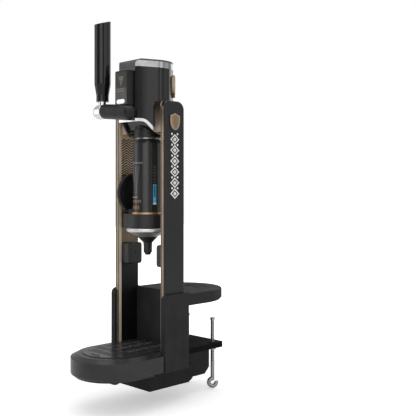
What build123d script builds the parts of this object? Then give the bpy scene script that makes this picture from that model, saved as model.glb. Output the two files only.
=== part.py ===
from build123d import *
import os
from math import acos, atan2, cos, degrees, pi, radians, sin, sqrt, tan

# Counter-edge dispenser for small upright kegs.  Millimetres, +Z up.
# Origin: middle of the shelf's underside, where it rests on the worktop.
# -Y is the drinker's side, +Y runs over the worktop, +X is to the right.

# ---------------------------------------------------------------- driving dimensions
fit_gap = 0.3                 # clearance between separate pieces that sit together
running_gap = 0.08            # radial clearance of a shaft in its bore
cut_over = 1.0                # how far a cut runs past the solid that it cuts

keg_y = -115.0                # upright axis of keg, cup and spout
keg_radius = 33.0
keg_height = 188.0
keg_base_z = 176.0
keg_wall = 1.0
keg_neck = 4.5                # how far the rims at both ends are drawn in
keg_rim = 3.0
keg_dish = 2.0                # end discs, inside the rims
keg_end_wall = 2.0

worktop_thickness = 44.6
shelf_height = 27.0
shelf_end_y = 79.0
shelf_skirt = 3.0
shelf_sole_rise = 1.0         # shelf's underside, above the worktop
shelf_top_chamfer = 2.0
shelf_sole_chamfer = 5.0
pad_thickness = 3.0
pad_inset = 8.0               # pad's edge, inside the shelf's
insert_half_width = 52.0
insert_half_length = 44.0
insert_depth = 3.0
insert_slot = 9.0
insert_slot_y = 19.8
insert_slot_floor = 1.0
insert_edge = 0.8             # rounding of the lid's rim, and its drop below the shelf's top

keg_side_room = 37.5          # clear room between keg and cheek
cheek_thickness = 14.3
cheek_reach = 24.6            # cheek front, ahead of the keg's axis
cheek_depth = 55.4
cheek_foot_z = -97.0
cheek_front_round = 9.0
cheek_back_round = 18.0
cheek_edge_round = 3.0
cheek_wall = 2.5
liner_thickness = 2.2
trim_width = 9.3
trim_return = 7.0             # how far the trim turns back along the inner face
trim_thickness = 1.6
trim_drop = 3.0               # trim's end, below the cheek's rounded front corner
post_front = 12.0
post_back = 8.0
post_wall = 1.5
post_hole_room = 1.0

pod_depth = 24.0              # how far a sensor pod stands out from its cheek
pod_width = 40.0
pod_low_z = 85.0
pod_high_z = 132.5
pod_round = 6.0
pod_wall = 2.0
lens_radius = 5.0

housing_wall = 6.4            # side walls, outside the cheeks
housing_face = 12.7           # front face beside each cheek
back_wall = 11.6              # wall behind the bay, with the frame's column in it
housing_lip = 5.5             # housing front, ahead of the cheeks
housing_back = 7.5            # housing's back, behind the cheeks
housing_rise = 3.0            # housing top, above the shelf
housing_bottom_z = -132.0
housing_floor = 4.0
housing_round = 12.0

tray_half_width = 89.0
tray_centre_y = -210.0
tray_rim_z = -97.0
tray_crown = 7.0              # rise of the rim from its outer edge to the grille
tray_crown_width = 14.0
tray_step = 5.0
tray_step_inset = 9.0
tray_sole_round = 4.0
tray_hollow_inset = 12.0      # hollow under the tray, inside the bowl's outline
tray_hollow_wall = 8.0
bowl_half_width = 66.0
bowl_wall = 2.0
bowl_rebate = 4.0
bowl_drop = 1.0               # bowl's rim, below the grille's top
grille_thickness = 3.0
grille_proud = 1.5            # grille, above the rim around it
slot_width = 3.0
slot_length = 21.0
slot_pitch_x = 7.5
slot_pitch_y = 26.0
slot_back_margin = 15.6       # middle of the last row, from the grille's back
slot_edge_margin = 6.0
foot_x = 50.0
foot_y = -249.0
foot_length = 25.0
foot_width = 12.0
foot_height = 4.0
foot_round = 3.0

frame_plate = 6.0
frame_half_width = 55.0
clamp_half_width = 60.0
clamp_plate = 12.0
clamp_top_z = -100.0
clamp_end_y = 63.0
frame_arm_end_y = 53.0
frame_passage = 9.0           # slot for the frame's arm, past the housing's back
screw_x = 42.0
screw_y = 45.0
screw_radius = 4.75
screw_nut = 6.0               # height of the welded nut under the clamp plate
screw_nut_radius = 9.0
screw_bottom_z = -186.0
screw_seat = 2.0              # how far a screw's end goes into its tip
eye_radius = 8.5
eye_angle = 285.0
tip_radius = 5.8
tip_height = 5.0
tip_round = 1.0

box_half_width = 65.0
box_front_y = -165.0
box_back_y = -43.0
box_bottom_z = -172.0
box_wall = 2.5
box_slope = 1.6               # run of the case's back foot for each millimetre that it rises
tail_half_width = 55.0
tail_end_y = 21.0
tail_bottom_z = -166.0
tail_chamfer = 14.0
inlet_x = -30.0
inlet_z = -141.0
inlet_width = 27.0
inlet_height = 20.0
inlet_depth = 18.0
inlet_wall = 2.0
inlet_pin_radius = 1.6
inlet_pin_pitch = 7.0
inlet_pin_length = 12.0
board_standoff = 4.0
board_margin = 6.0
board_length = 70.0
board_thickness = 2.0
board_post_radius = 3.5
transformer_size = 42.0
transformer_height = 25.0
heat_sink_size = 30.0
heat_sink_height = 17.0

head_front_half = 32.0
head_half_width = 52.0
head_front_reach = 58.0
head_back_reach = 57.0
head_corner = 5.0
head_wall = 3.0
head_floor = 3.0
head_clearance = 2.0          # head's underside, above the keg's top rim
chin_rise = 30.0              # underside at the head's front, above the underside over the keg
head_height = 147.0           # up to the seam under the cap
cap_height = 16.5
head_band_height = 13.0
head_band_thickness = 2.2
head_slope = 8.0              # run and drop of the cap's sloping front edge
brow_round = 5.0
chin_length = 16.0            # flat run under the front before the underside turns down
chin_run = 29.0               # forward run of the slope between chin and low back
chin_round = 16.0
throat_round = 42.0
chin_trim_height = 6.5
chin_trim_proud = 0.8
chin_trim_reach = 58.0        # run of the lip back from the head's front
shoulder_reach = 20.0
shoulder_setback = 4.0        # shoulder back, ahead of the cheek's back
shoulder_height = 73.0        # shoulder top, above the head's low underside
shoulder_lift = 1.5           # shoulder foot, above the chrome lip
bolt_radius = 2.5
bolt_head_radius = 4.5
bolt_head_height = 3.0
bolt_rise = 34.0              # middle of the bolt group, above the head's low underside
bolt_spread_y = 9.5
bolt_spread_z = 12.0
bolt_grip = 6.0               # bolt's end, past the head's wall

display_half_width = 22.0
display_depth = 16.5
display_rise = 65.0           # display box, above the head's low underside
display_height = 74.0
display_wall = 2.0
display_rebate = 1.0          # extra wall at the display box's sides and top
display_round = 3.0
ribbon_half_width = 6.0       # opening for the ribbon between display and head
ribbon_height = 20.0
panel_half_width = 18.5
panel_thickness = 1.5
panel_margin = 4.0
panel_gap = 0.1
button_x = -0.5
button_rise = 7.5             # button, above the display box's foot
button_length = 25.0
button_height = 9.0
button_proud = 2.2
button_depth = 6.0
button_round = 1.0
button_stem_radius = 2.0
button_stem_length = 3.0
control_gap = 2.0             # control board, behind the head's front wall
control_thickness = 1.6
control_half_width = 24.0
control_rise = 20.0           # board's foot, above the display box's foot
control_drop = 6.0            # board's top, below the display box's top
control_post_x = 20.0
control_post_drop = 12.0
control_post_radius = 2.0
chip_x = -1.0
chip_width = 18.0
chip_height = 16.0
chip_depth = 4.0
chip_rise = 12.0              # chip's middle, above the display box's middle

tap_reach = 65.5              # tap axis, ahead of the keg's axis
tap_rise = 57.0               # tap axis, above the head's low underside
arm_end_x = -68.0
arm_root_x = 16.0
arm_root_drop = 8.0           # arm root, below the tap axis
arm_end_radius = 16.0
arm_root_radius = 16.8
arm_cut = 60.0                # size of the block that trims the arm's end square
axle_radius = 5.0
bush_wall = 2.0
bush_length = 12.0
hub_radius = 16.0
hub_length = 22.0
hub_cap_length = 2.5
hub_cap_step = 1.5            # cap's edge, inside the hub's, and its rounding
hub_round = 2.5
stem_inset = 8.5              # stem axis, outboard of the arm's end
stem_radius = 8.5
stem_rise = 7.0               # stem foot, above the tap axis
stud_radius = 5.0
stud_length = 32.0
handle_rise = 22.0            # handle foot, above the tap axis
handle_neck_radius = 13.75
handle_neck_length = 14.0
handle_radius = 18.0
handle_flare_length = 25.0
handle_grip_length = 135.5
handle_top_slope = 16.0       # degrees, rising to the back
handle_round = 1.2

pull_angle = 45.0
crank_x = -19.0
crank_width = 6.0
crank_radius = 17.0
crank_boss = 6.8
crank_pin_radius = 2.5
crank_eye = 4.5
crank_room = 0.8              # around the crank in the arm's window
window_margin = 3.0           # head's window, around the crank
crank_pin_over = 2.0          # pin's end, past the yoke
yoke_width = 6.0
yoke_height = 13.0
yoke_wall = 1.6
yoke_boss = 10.0
valve_rod_radius = 4.0
valve_rod_gap = 2.0           # rod's foot, above the keg
adapter_radius = 27.0
adapter_flange_radius = 30.0
adapter_rise = 9.0            # adapter top, above the head's chin
pump_radius = 14.0
pump_length = 50.0
pump_base = 24.0
pump_rise = 12.0              # pump, above the adapter
pump_wall = 1.0
pump_block_margin = 3.0
pump_post_setback = 6.0
pump_post_depth = 6.0
pump_setback = 24.0           # pump axis, behind the keg's axis

shield_waist = 0.2            # where a medallion starts to narrow, by its height
shield_peak = 5.0             # a medallion's point, above its shoulders
badge_half_width = 14.0
badge_height = 36.0
badge_drop = 44.0             # badge centre, below the cheek top
badge_setback = 2.0           # badge, behind the keg's axis
badge_thickness = 2.5
head_badge_height = 50.0
head_badge_drop = 35.0        # medallion centre, below the seam
head_badge_half_width = 13.0
head_badge_thickness = 4.0
head_badge_angle = 45.0

cup_wall = 8.7
cup_sole = 9.0                # cup bottom, below the keg's foot
cup_depth = 21.5              # cup rim, above the keg's foot
cup_lug_rise = 10.5
cup_lug_width = 34.0          # angle the lug takes up, degrees
cup_lug_turn = 215.0          # angle of the lug about the keg's axis, degrees
cup_ring_wall = 2.4
cup_ring_height = 4.2
funnel_lip = 4.5              # funnel rim, outside the cup
funnel_neck_radius = 22.7
funnel_depth = 19.0
funnel_wall = 2.5
funnel_rim = 7.0
funnel_rim_round = 3.0
funnel_seat = 4.0             # width of the funnel's seat under the cup
nozzle_length = 40.0
nozzle_radius = 8.5
nozzle_waist_radius = 10.0
nozzle_flare = 13.0           # height of the cone under the funnel
nozzle_bore = 3.5
nozzle_tip = 3.0
needle_radius = 2.5
needle_rise = 8.0             # needle point, above the keg's foot
needle_bore = 1.2
needle_tip_radius = 1.4
needle_point = 5.0
needle_room = 1.0

wheel_rise = 67.0             # wheel axis, above the keg's foot
wheel_offset = 12.5           # wheel, inboard of the pinion
wheel_radius = 43.0
wheel_thickness = 10.0
wheel_round = 2.5
groove_inset = 7.0            # groove in the wheel's face, inside its rim
groove_width = 3.0
groove_depth = 1.5
wheel_shaft_radius = 3.5
gear_module = 1.0
gear_teeth = 15
gear_root = 1.25              # depth of a tooth below the pitch line, in modules
pressure_angle = 20.0
flank_steps = 4
gear_face = 7.0
gear_inset = 8.0              # pinion, inboard of the liner
gear_backlash = 0.12
rack_depth = 10.0
rack_thickness = 10.0
rack_offset = 1.0             # rack's middle, outboard of the pinion's
lift_travel = 23.5
arm_block_reach = 18.0        # carriage arm, ahead of the keg's axis
arm_block_round = 4.0
guide_below = 38.0            # guide ends, below and above the wheel axis
guide_above = 42.0
guide_margin = 5.0
guide_step = 2.0              # guide's face, outboard of the rack's
guide_gear_room = 1.0

# ---------------------------------------------------------------- places that follow
bay_half_width = keg_radius + keg_side_room
keg_top_z = keg_base_z + keg_height
head_low_z = keg_top_z + head_clearance
head_chin_z = head_low_z + chin_rise
head_seam_z = head_low_z + head_height
head_top_z = head_seam_z + cap_height
shoulder_low_z = head_low_z + chin_trim_height + shoulder_lift
shoulder_top_z = head_low_z + shoulder_height
cheek_top_z = shoulder_top_z
badge_z = cheek_top_z - badge_drop
head_badge_z = head_seam_z - head_badge_drop
display_low_z = head_low_z + display_rise
display_high_z = display_low_z + display_height
display_middle_z = display_low_z + display_height / 2
button_z = display_low_z + button_rise
tap_z = head_low_z + tap_rise
arm_root_z = tap_z - arm_root_drop
stem_low_z = tap_z + stem_rise
handle_low_z = tap_z + handle_rise
handle_neck_top_z = handle_low_z + handle_neck_length
handle_flare_z = handle_neck_top_z + handle_flare_length
handle_top_z = handle_flare_z + handle_grip_length
adapter_top_z = head_chin_z + adapter_rise
cup_radius = keg_radius + fit_gap + cup_wall
funnel_radius = cup_radius + funnel_lip
cup_low_z = keg_base_z - cup_sole
cup_high_z = keg_base_z + cup_depth
cup_lug_z = cup_high_z + cup_lug_rise
funnel_low_z = cup_low_z - funnel_depth
nozzle_low_z = funnel_low_z - nozzle_length
nozzle_waist_z = funnel_low_z - nozzle_flare
needle_top_z = keg_base_z + needle_rise
wheel_y = keg_y
wheel_z = keg_base_z + wheel_rise
gear_x = gear_inset - bay_half_width
wheel_x = gear_x + wheel_offset
arm_block_low_z = cup_low_z
arm_block_high_z = cup_high_z
arm_block_front_y = keg_y - arm_block_reach
guide_low_z = wheel_z - guide_below
guide_high_z = wheel_z + guide_above
cheek_outer_x = bay_half_width + cheek_thickness
cheek_front_y = keg_y - cheek_reach
cheek_back_y = cheek_front_y + cheek_depth
liner_outer_x = bay_half_width + liner_thickness
body_half_width = cheek_outer_x + fit_gap + housing_wall
housing_front_y = cheek_front_y - housing_lip
housing_back_y = cheek_back_y + housing_back
housing_top_z = shelf_height + housing_rise
bay_back_y = housing_back_y - back_wall
pocket_floor_z = housing_bottom_z + housing_floor
grille_top_z = tray_rim_z + tray_crown + grille_proud
shelf_round_y = shelf_end_y - body_half_width
head_front_y = keg_y - head_front_reach
head_back_y = keg_y + head_back_reach
head_centre_y = head_back_y - head_half_width
chin_trim_end_y = head_front_y + chin_trim_reach
shoulder_front_y = keg_y - shoulder_reach
shoulder_back_y = cheek_back_y - shoulder_setback
chin_y = head_front_y + chin_length
throat_y = chin_y + chin_run
tap_y = keg_y - tap_reach
hub_end_x = arm_end_x - fit_gap - hub_length
handle_x = arm_end_x - fit_gap - stem_inset
display_front_y = head_front_y - display_depth
crank_pin_y = tap_y + crank_radius * cos(radians(pull_angle / 2))
crank_pin_z = tap_z - crank_radius * sin(radians(pull_angle / 2))
pin_end_x = crank_x + crank_width / 2 + yoke_width + crank_pin_over
gear_pitch_radius = gear_module * gear_teeth / 2
rack_pitch_y = wheel_y + gear_pitch_radius + gear_backlash / 2
rack_root_y = rack_pitch_y + gear_root * gear_module
rack_back_y = rack_root_y + rack_depth


# ---------------------------------------------------------------- shape helpers
def both(half):
    """The (low, high) pair of a size centred on zero."""
    return (-half, half)


def about(middle, size):
    """The (low, high) pair of a size centred on a value."""
    return (middle - size / 2, middle + size / 2)


def span(x, y, z):
    """A box between (low, high) pairs."""
    middle = [(low + high) / 2 for low, high in (x, y, z)]
    size = [high - low for low, high in (x, y, z)]
    return Pos(*middle) * Box(*size)


def rod_z(radius, x, y, z):
    """An upright cylinder between two heights."""
    return Pos(x, y, (z[0] + z[1]) / 2) * Cylinder(radius, z[1] - z[0])


def rod_x(radius, x, y, z):
    """A cylinder along X between two places."""
    return Pos((x[0] + x[1]) / 2, y, z) * Rot(0, 90, 0) * Cylinder(radius, x[1] - x[0])


def prism_z(face, z):
    """A plan outline raised between two heights."""
    return extrude(Plane.XY.offset(z[0]) * face, amount=z[1] - z[0])


def prism_x(face, x):
    """A side outline, drawn with Y across and Z up, widened between two X planes."""
    return extrude(Plane.YZ.offset(x[0]) * face, amount=x[1] - x[0])


def turned(points, x, y):
    """A solid of revolution about an upright axis from (radius, height) points."""
    profile = make_face(Plane.XZ * Polyline(*points, close=True))
    return Pos(x, y, 0) * revolve(profile, Axis.Z)


def mirrored(part):
    """The left-hand copy of a right-hand piece."""
    return mirror(part, about=Plane.YZ)


def pair(name, part):
    """A right-hand piece and its left-hand copy, named."""
    return {name + "_right": part, name + "_left": mirrored(part)}


# ---------------------------------------------------------------- plan outlines
def round_end(half, centre_y, back_y):
    """A strip with straight sides and a half-round front end."""
    side = Polyline((half, centre_y), (half, back_y), (-half, back_y), (-half, centre_y))
    nose = ThreePointArc((-half, centre_y), (0, centre_y - half), (half, centre_y))
    return make_face(side + nose)


def shelf_outline(inset):
    """The shelf's plan: straight sides and a half-round end over the worktop."""
    half = body_half_width - inset
    start_y = housing_back_y + inset
    side = Polyline((half, shelf_round_y), (half, start_y), (-half, start_y), (-half, shelf_round_y))
    end = ThreePointArc((-half, shelf_round_y), (0, shelf_round_y + half), (half, shelf_round_y))
    return make_face(side + end)


def head_outline(grow=0.0):
    """The head's plan: narrow flat front, round back, straight sides that meet the back smoothly."""
    ahead = head_centre_y - head_front_y
    turn = acos(head_half_width / sqrt(head_front_half ** 2 + ahead ** 2)) - atan2(ahead, head_front_half)
    meet_x = head_half_width * cos(turn)
    meet_y = head_centre_y + head_half_width * sin(turn)
    sides = Polyline(
        (meet_x, meet_y),
        (head_front_half, head_front_y),
        (-head_front_half, head_front_y),
        (-meet_x, meet_y),
    )
    back = ThreePointArc((-meet_x, meet_y), (0, head_back_y), (meet_x, meet_y))
    plan = make_face(sides + back)
    corners = plan.vertices().group_by(Axis.Y)[0]
    plan = chamfer(corners, head_corner)
    return offset(plan, grow) if grow else plan


def under_head(grow=0.0):
    """The side outline of the space under the head: high chin, curved throat, low back."""
    depth_z = head_low_z - head_height
    front_y = head_front_y - head_height
    back_y = head_back_y + head_height
    outline = Polyline(
        (chin_y, head_chin_z),
        (throat_y, head_low_z),
        (back_y, head_low_z),
        (back_y, depth_z),
        (front_y, depth_z),
        (front_y, head_chin_z),
        close=True,
    )
    side = make_face(outline)
    chin = [vertex for vertex in side.vertices() if abs(vertex.X - chin_y) < 1]
    side = fillet(chin, chin_round)
    throat = [vertex for vertex in side.vertices() if abs(vertex.X - throat_y) < 1]
    side = fillet(throat, throat_round)
    return offset(side, grow) if grow else side


def cheek_blank(x):
    """The upright outline of a cheek with its two rounded top corners."""
    blank = span(x, (cheek_front_y, cheek_back_y), (cheek_foot_z, cheek_top_z))
    front = blank.edges().filter_by(Axis.X).group_by(Axis.Z)[-1].sort_by(Axis.Y)[0]
    blank = fillet(front, cheek_front_round)
    back = blank.edges().filter_by(Axis.X).group_by(Axis.Z)[-1].sort_by(Axis.Y)[-1]
    return fillet(back, cheek_back_round)


# ---------------------------------------------------------------- tower
trim_top_z = cheek_top_z - cheek_front_round - trim_drop
trim_return_y = cheek_front_y + trim_return
post_y = (cheek_front_y + post_front, cheek_back_y - post_back)
bolt_y = [(post_y[0] + post_y[1]) / 2 + side * bolt_spread_y for side in (-1, 1)]
bolt_z = [head_low_z + bolt_rise + side * bolt_spread_z for side in (-1, 1)]
shoulder_holes = [(y, z) for y in bolt_y for z in bolt_z]


def tower_shells():
    """Black outer half of each cheek, hollow towards the bay."""
    shell = cheek_blank((liner_outer_x, cheek_outer_x))
    outer = shell.faces().sort_by(Axis.X)[-1]
    shell = fillet(outer.edges(), cheek_edge_round)
    shell -= span(
        (liner_outer_x, cheek_outer_x - cheek_wall),
        (cheek_front_y + cheek_wall + trim_thickness, cheek_back_y - cheek_wall),
        (cheek_foot_z + cheek_wall, cheek_top_z - cheek_back_round),
    )
    shell -= span(
        (liner_outer_x, bay_half_width + trim_width),
        (cheek_front_y, cheek_front_y + trim_thickness),
        (cheek_foot_z, trim_top_z),
    )
    return pair("tower_shell", shell)


def tower_trims():
    """Gold angle strip that wraps the inner front edge of each cheek."""
    rise = (cheek_foot_z, trim_top_z)
    front_y = (cheek_front_y, cheek_front_y + trim_thickness)
    front = span((bay_half_width, bay_half_width + trim_width), front_y, rise)
    side = span((bay_half_width, liner_outer_x), (cheek_front_y, trim_return_y), rise)
    return pair("tower_trim", front + side)


def tower_liners():
    """Patterned inner panel that closes each cheek towards the bay."""
    liner = cheek_blank((bay_half_width, liner_outer_x))
    liner -= span((bay_half_width, liner_outer_x), (cheek_front_y, trim_return_y), (cheek_foot_z, trim_top_z))
    for y, z in shoulder_holes:
        liner -= rod_x(bolt_radius + running_gap, (bay_half_width, liner_outer_x), y, z)
    left = mirrored(liner)
    left -= rod_x(wheel_shaft_radius + running_gap, (-liner_outer_x, -bay_half_width), wheel_y, wheel_z)
    return {"tower_liner_right": liner, "tower_liner_left": left}


def tower_posts():
    """Steel box section inside each cheek, from the base to the head's shoulders."""
    x = (liner_outer_x + fit_gap, cheek_outer_x - cheek_wall - fit_gap)
    y = post_y
    z = (cheek_foot_z + cheek_wall, cheek_top_z - cheek_back_round - fit_gap)
    post = span(x, y, z)
    post -= span(
        (x[0] + post_wall, x[1] - post_wall),
        (y[0] + post_wall, y[1] - post_wall),
        (z[0], z[1] - post_wall),
    )
    for hole_y, hole_z in shoulder_holes:
        post -= rod_x(bolt_radius + running_gap, (x[0], x[0] + post_wall), hole_y, hole_z)
    left = mirrored(post)
    left -= rod_x(wheel_shaft_radius + post_hole_room, (-x[0] - post_wall, -x[0]), wheel_y, wheel_z)
    return {"tower_post_right": post, "tower_post_left": left}


def sensor_pods():
    """Rounded cover on each cheek for a level sensor, thinned to a round window."""
    inner_x = bay_half_width - pod_depth
    pod_y = about((cheek_front_y + cheek_back_y) / 2, pod_width)
    pod = span((inner_x, bay_half_width), pod_y, (pod_low_z, pod_high_z))
    pod = fillet(pod.edges().filter_by(Axis.X), pod_round)
    pod = fillet(pod.faces().sort_by(Axis.X)[0].edges(), pod_round / 2)
    hollow = span(
        (inner_x + pod_wall, bay_half_width),
        (pod_y[0] + pod_round, pod_y[1] - pod_round),
        (pod_low_z + pod_round, pod_high_z - pod_round),
    )
    pod -= hollow
    pod -= rod_x(lens_radius, (inner_x, inner_x + pod_wall / 2), keg_y, (pod_low_z + pod_high_z) / 2)
    return pair("sensor_pod", pod)


def shield(half_width, height, thickness):
    """A plain medallion: straight shoulders and a rounded point, standing on its lower tip."""
    top = height / 2
    waist = height * shield_waist
    corner = top - shield_peak
    left = [(-half_width, waist), (-half_width, corner)]
    right = [(half_width, corner), (half_width, waist)]
    outline = Polyline(*left, (0, top), *right)
    point = Spline((half_width, waist), (0, -top), (-half_width, waist), tangents=[(0, -1), (0, 1)])
    return extrude(make_face(outline + point), amount=thickness)


def side_badge():
    """Medallion on the right cheek's outer face."""
    badge = Plane.YZ * shield(badge_half_width, badge_height, badge_thickness)
    return {"side_badge": Pos(cheek_outer_x, keg_y + badge_setback, badge_z) * badge}


# ---------------------------------------------------------------- base
def clamp_frame_parts():
    """Bent steel C: arm in the shelf, column in the housing, clamp plate under the worktop."""
    column_y = about((bay_back_y + housing_back_y) / 2, frame_plate)
    arm_z = (pad_thickness, pad_thickness + frame_plate)
    clamp_z = (clamp_top_z - clamp_plate, clamp_top_z)
    column = span(both(frame_half_width), column_y, (clamp_z[0], arm_z[1]))
    arm = span(both(frame_half_width), (column_y[0], frame_arm_end_y), arm_z)
    plate = span(both(clamp_half_width), (column_y[0], clamp_end_y), clamp_z)
    plate = fillet(plate.edges().filter_by(Axis.Z).group_by(Axis.Y)[-1], frame_plate)
    arm = fillet(arm.edges().filter_by(Axis.Z).group_by(Axis.Y)[-1], 2 * frame_plate)
    frame = column + arm + plate
    nuts = []
    for x in both(screw_x):
        frame -= rod_z(screw_radius + running_gap, x, screw_y, clamp_z)
        nut = extrude(RegularPolygon(screw_nut_radius, 6), amount=screw_nut)
        nut = Pos(x, screw_y, clamp_z[0] - screw_nut) * nut
        nuts.append(nut - rod_z(screw_radius + running_gap, x, screw_y, (clamp_z[0] - screw_nut, clamp_z[0])))
    return {"clamp_frame": frame, "clamp_nuts": Compound(nuts)}


def base_housing():
    """One moulding: the column that holds the cheeks and the shelf over the worktop."""
    column = span(both(body_half_width), (housing_front_y, housing_back_y), (housing_bottom_z, housing_top_z))
    brow = column.edges().filter_by(Axis.X).group_by(Axis.Z)[-1].sort_by(Axis.Y)[0]
    column = fillet(brow, housing_round)
    shelf = prism_z(shelf_outline(0), (shelf_sole_rise, shelf_height))
    rim = shelf.faces().sort_by(Axis.Z)[-1].edges().filter_by(GeomType.CIRCLE)
    shelf = chamfer(rim, shelf_top_chamfer)
    sole = shelf.faces().sort_by(Axis.Z)[0].edges().filter_by(GeomType.CIRCLE)
    shelf = chamfer(sole, shelf_sole_chamfer)
    body = column + shelf
    body -= prism_z(shelf_outline(pad_inset), (0, shelf_height - shelf_skirt - insert_depth))
    bay_x = bay_half_width - fit_gap
    front_y = housing_front_y
    body -= span(both(bay_x), (front_y, bay_back_y), (pocket_floor_z, housing_top_z))
    for side in (1, -1):
        outer = side * (cheek_outer_x + fit_gap)
        inner = side * bay_x
        lip = side * (body_half_width - housing_face)
        body -= span(
            sorted((inner, outer)),
            (cheek_front_y - fit_gap, cheek_back_y + fit_gap),
            (cheek_foot_z - fit_gap, housing_top_z),
        )
        body -= span(sorted((inner, lip)), (front_y, cheek_front_y), (tray_rim_z + tray_crown, housing_top_z))
    column_y = about((bay_back_y + housing_back_y) / 2, frame_plate + 2 * fit_gap)
    arm_top_z = pad_thickness + frame_plate + fit_gap
    frame_x = both(frame_half_width + fit_gap)
    body -= span(frame_x, column_y, (housing_bottom_z, arm_top_z))
    body -= span(frame_x, (column_y[0], housing_back_y + frame_passage), (pad_thickness, arm_top_z))
    body -= span(
        both(clamp_half_width + fit_gap),
        (column_y[0], housing_back_y),
        (housing_bottom_z, clamp_top_z + fit_gap),
    )
    seat = extrude(Ellipse(insert_half_width, insert_half_length), amount=insert_depth)
    body -= Pos(0, 0, shelf_height - insert_depth) * seat
    return {"base_housing": body}


def shelf_parts():
    """Rubber pad that grips the worktop and the oval lid set into the shelf's top."""
    pad = prism_z(shelf_outline(pad_inset + fit_gap), (0, pad_thickness))
    outline = Ellipse(insert_half_width - fit_gap, insert_half_length - fit_gap)
    lid = extrude(outline, amount=insert_depth - insert_edge)
    lid = fillet(lid.faces().sort_by(Axis.Z)[-1].edges(), insert_edge)
    slot = extrude(SlotOverall(insert_half_width, insert_slot), amount=insert_depth)
    lid -= Pos(0, insert_slot_y, insert_slot_floor) * slot
    return {"counter_pad": pad, "shelf_insert": Pos(0, 0, shelf_height - insert_depth) * lid}


def tray_front_edges(face):
    """The edges of a tray face that aren't against the housing."""
    return face.edges().filter_by(lambda edge: edge.center().Y < housing_front_y - cut_over)


def tray_shell():
    """Round-ended tray carrier ahead of the housing, with a crowned rim."""
    top_z = tray_rim_z + tray_crown
    shell = prism_z(round_end(tray_half_width, tray_centre_y, housing_front_y), (housing_bottom_z, top_z))
    shell = chamfer(tray_front_edges(shell.faces().sort_by(Axis.Z)[-1]), tray_crown, tray_crown_width)
    shell = fillet(tray_front_edges(shell.faces().sort_by(Axis.Z)[0]), tray_sole_round)
    step_z = (housing_bottom_z - tray_step, housing_bottom_z)
    step_back_y = box_front_y - fit_gap
    shell += prism_z(round_end(tray_half_width - tray_step_inset, tray_centre_y, step_back_y), step_z)
    shell -= prism_z(round_end(bowl_half_width, tray_centre_y, housing_front_y), (pocket_floor_z, top_z))
    hollow = round_end(bowl_half_width - tray_hollow_inset, tray_centre_y, step_back_y - tray_hollow_wall)
    shell -= prism_z(hollow, (step_z[0], housing_bottom_z))
    foot = span(about(foot_x, foot_length), about(foot_y, foot_width), (step_z[0] - foot_height, step_z[0]))
    foot = fillet(foot.edges().filter_by(Axis.Z), foot_round)
    return {"tray_shell": shell, "tray_feet": foot + mirrored(foot)}


def drip_parts():
    """Lift-out bowl and the slotted grille that lies in its rebate."""
    back_y = bay_back_y - fit_gap
    outer = bowl_half_width - fit_gap
    bowl_z = (pocket_floor_z + fit_gap, grille_top_z - bowl_drop)
    bowl = prism_z(round_end(outer, tray_centre_y, back_y), bowl_z)
    inner = round_end(outer - bowl_wall - bowl_rebate, tray_centre_y, back_y - bowl_wall - bowl_rebate)
    rebate = round_end(outer - bowl_wall, tray_centre_y, back_y - bowl_wall)
    ledge_z = grille_top_z - grille_thickness - fit_gap
    bowl -= prism_z(inner, (bowl_z[0] + bowl_wall, grille_top_z))
    bowl -= prism_z(rebate, (ledge_z, grille_top_z))
    half = outer - bowl_wall - fit_gap
    grille_back_y = back_y - bowl_wall - fit_gap
    grille = prism_z(round_end(half, tray_centre_y, grille_back_y), (ledge_z + fit_gap, grille_top_z))
    rows = int((grille_back_y - tray_centre_y) / slot_pitch_y) + int((half - slot_length) / slot_pitch_y) + 1
    slots = []
    for row in range(rows):
        y = grille_back_y - slot_back_margin - row * slot_pitch_y
        ahead = max(0.0, tray_centre_y - y + slot_length / 2)
        reach = sqrt(max(0.0, (half - slot_edge_margin) ** 2 - ahead ** 2))
        count = int(reach / slot_pitch_x)
        for column in range(-count, count + 1):
            slot = SlotOverall(slot_length, slot_width, rotation=90)
            slots.append(Pos(column * slot_pitch_x, y, ledge_z) * extrude(slot, amount=2 * grille_thickness))
    grille -= slots
    return {"drip_bowl": bowl, "drip_grille": grille}


def clamp_screws():
    """Two screws with a bent eye below and a swivel tip that bears on the worktop."""
    top_z = -worktop_thickness - tip_height + screw_seat
    eye_z = screw_bottom_z - eye_radius
    ring = Torus(eye_radius, screw_radius)
    reach = 4 * eye_radius
    open_angle = radians(eye_angle - 360)
    wedge = Polyline((0, 0), (reach, 0), (reach * cos(open_angle), reach * sin(open_angle)), close=True)
    ring -= extrude(make_face(wedge), amount=2 * screw_radius, both=True)
    ring = Rot(0, 0, 90) * ring
    eye = Rot(0, 0, 45) * Rot(90, 0, 0) * ring
    screw = rod_z(screw_radius, 0, 0, (screw_bottom_z, top_z)) + Pos(0, 0, eye_z) * eye
    screw += Pos(0, 0, screw_bottom_z) * Sphere(screw_radius)
    tip = rod_z(tip_radius, 0, 0, (top_z - screw_seat, -worktop_thickness))
    tip = fillet(tip.faces().sort_by(Axis.Z)[-1].edges(), tip_round)
    tip -= rod_z(screw_radius + running_gap, 0, 0, (top_z - screw_seat, top_z + running_gap))
    parts = {}
    for side, x in (("right", screw_x), ("left", -screw_x)):
        parts["clamp_screw_" + side] = Pos(x, screw_y, 0) * screw
        parts["clamp_tip_" + side] = Pos(x, screw_y, 0) * tip
    return parts


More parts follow.
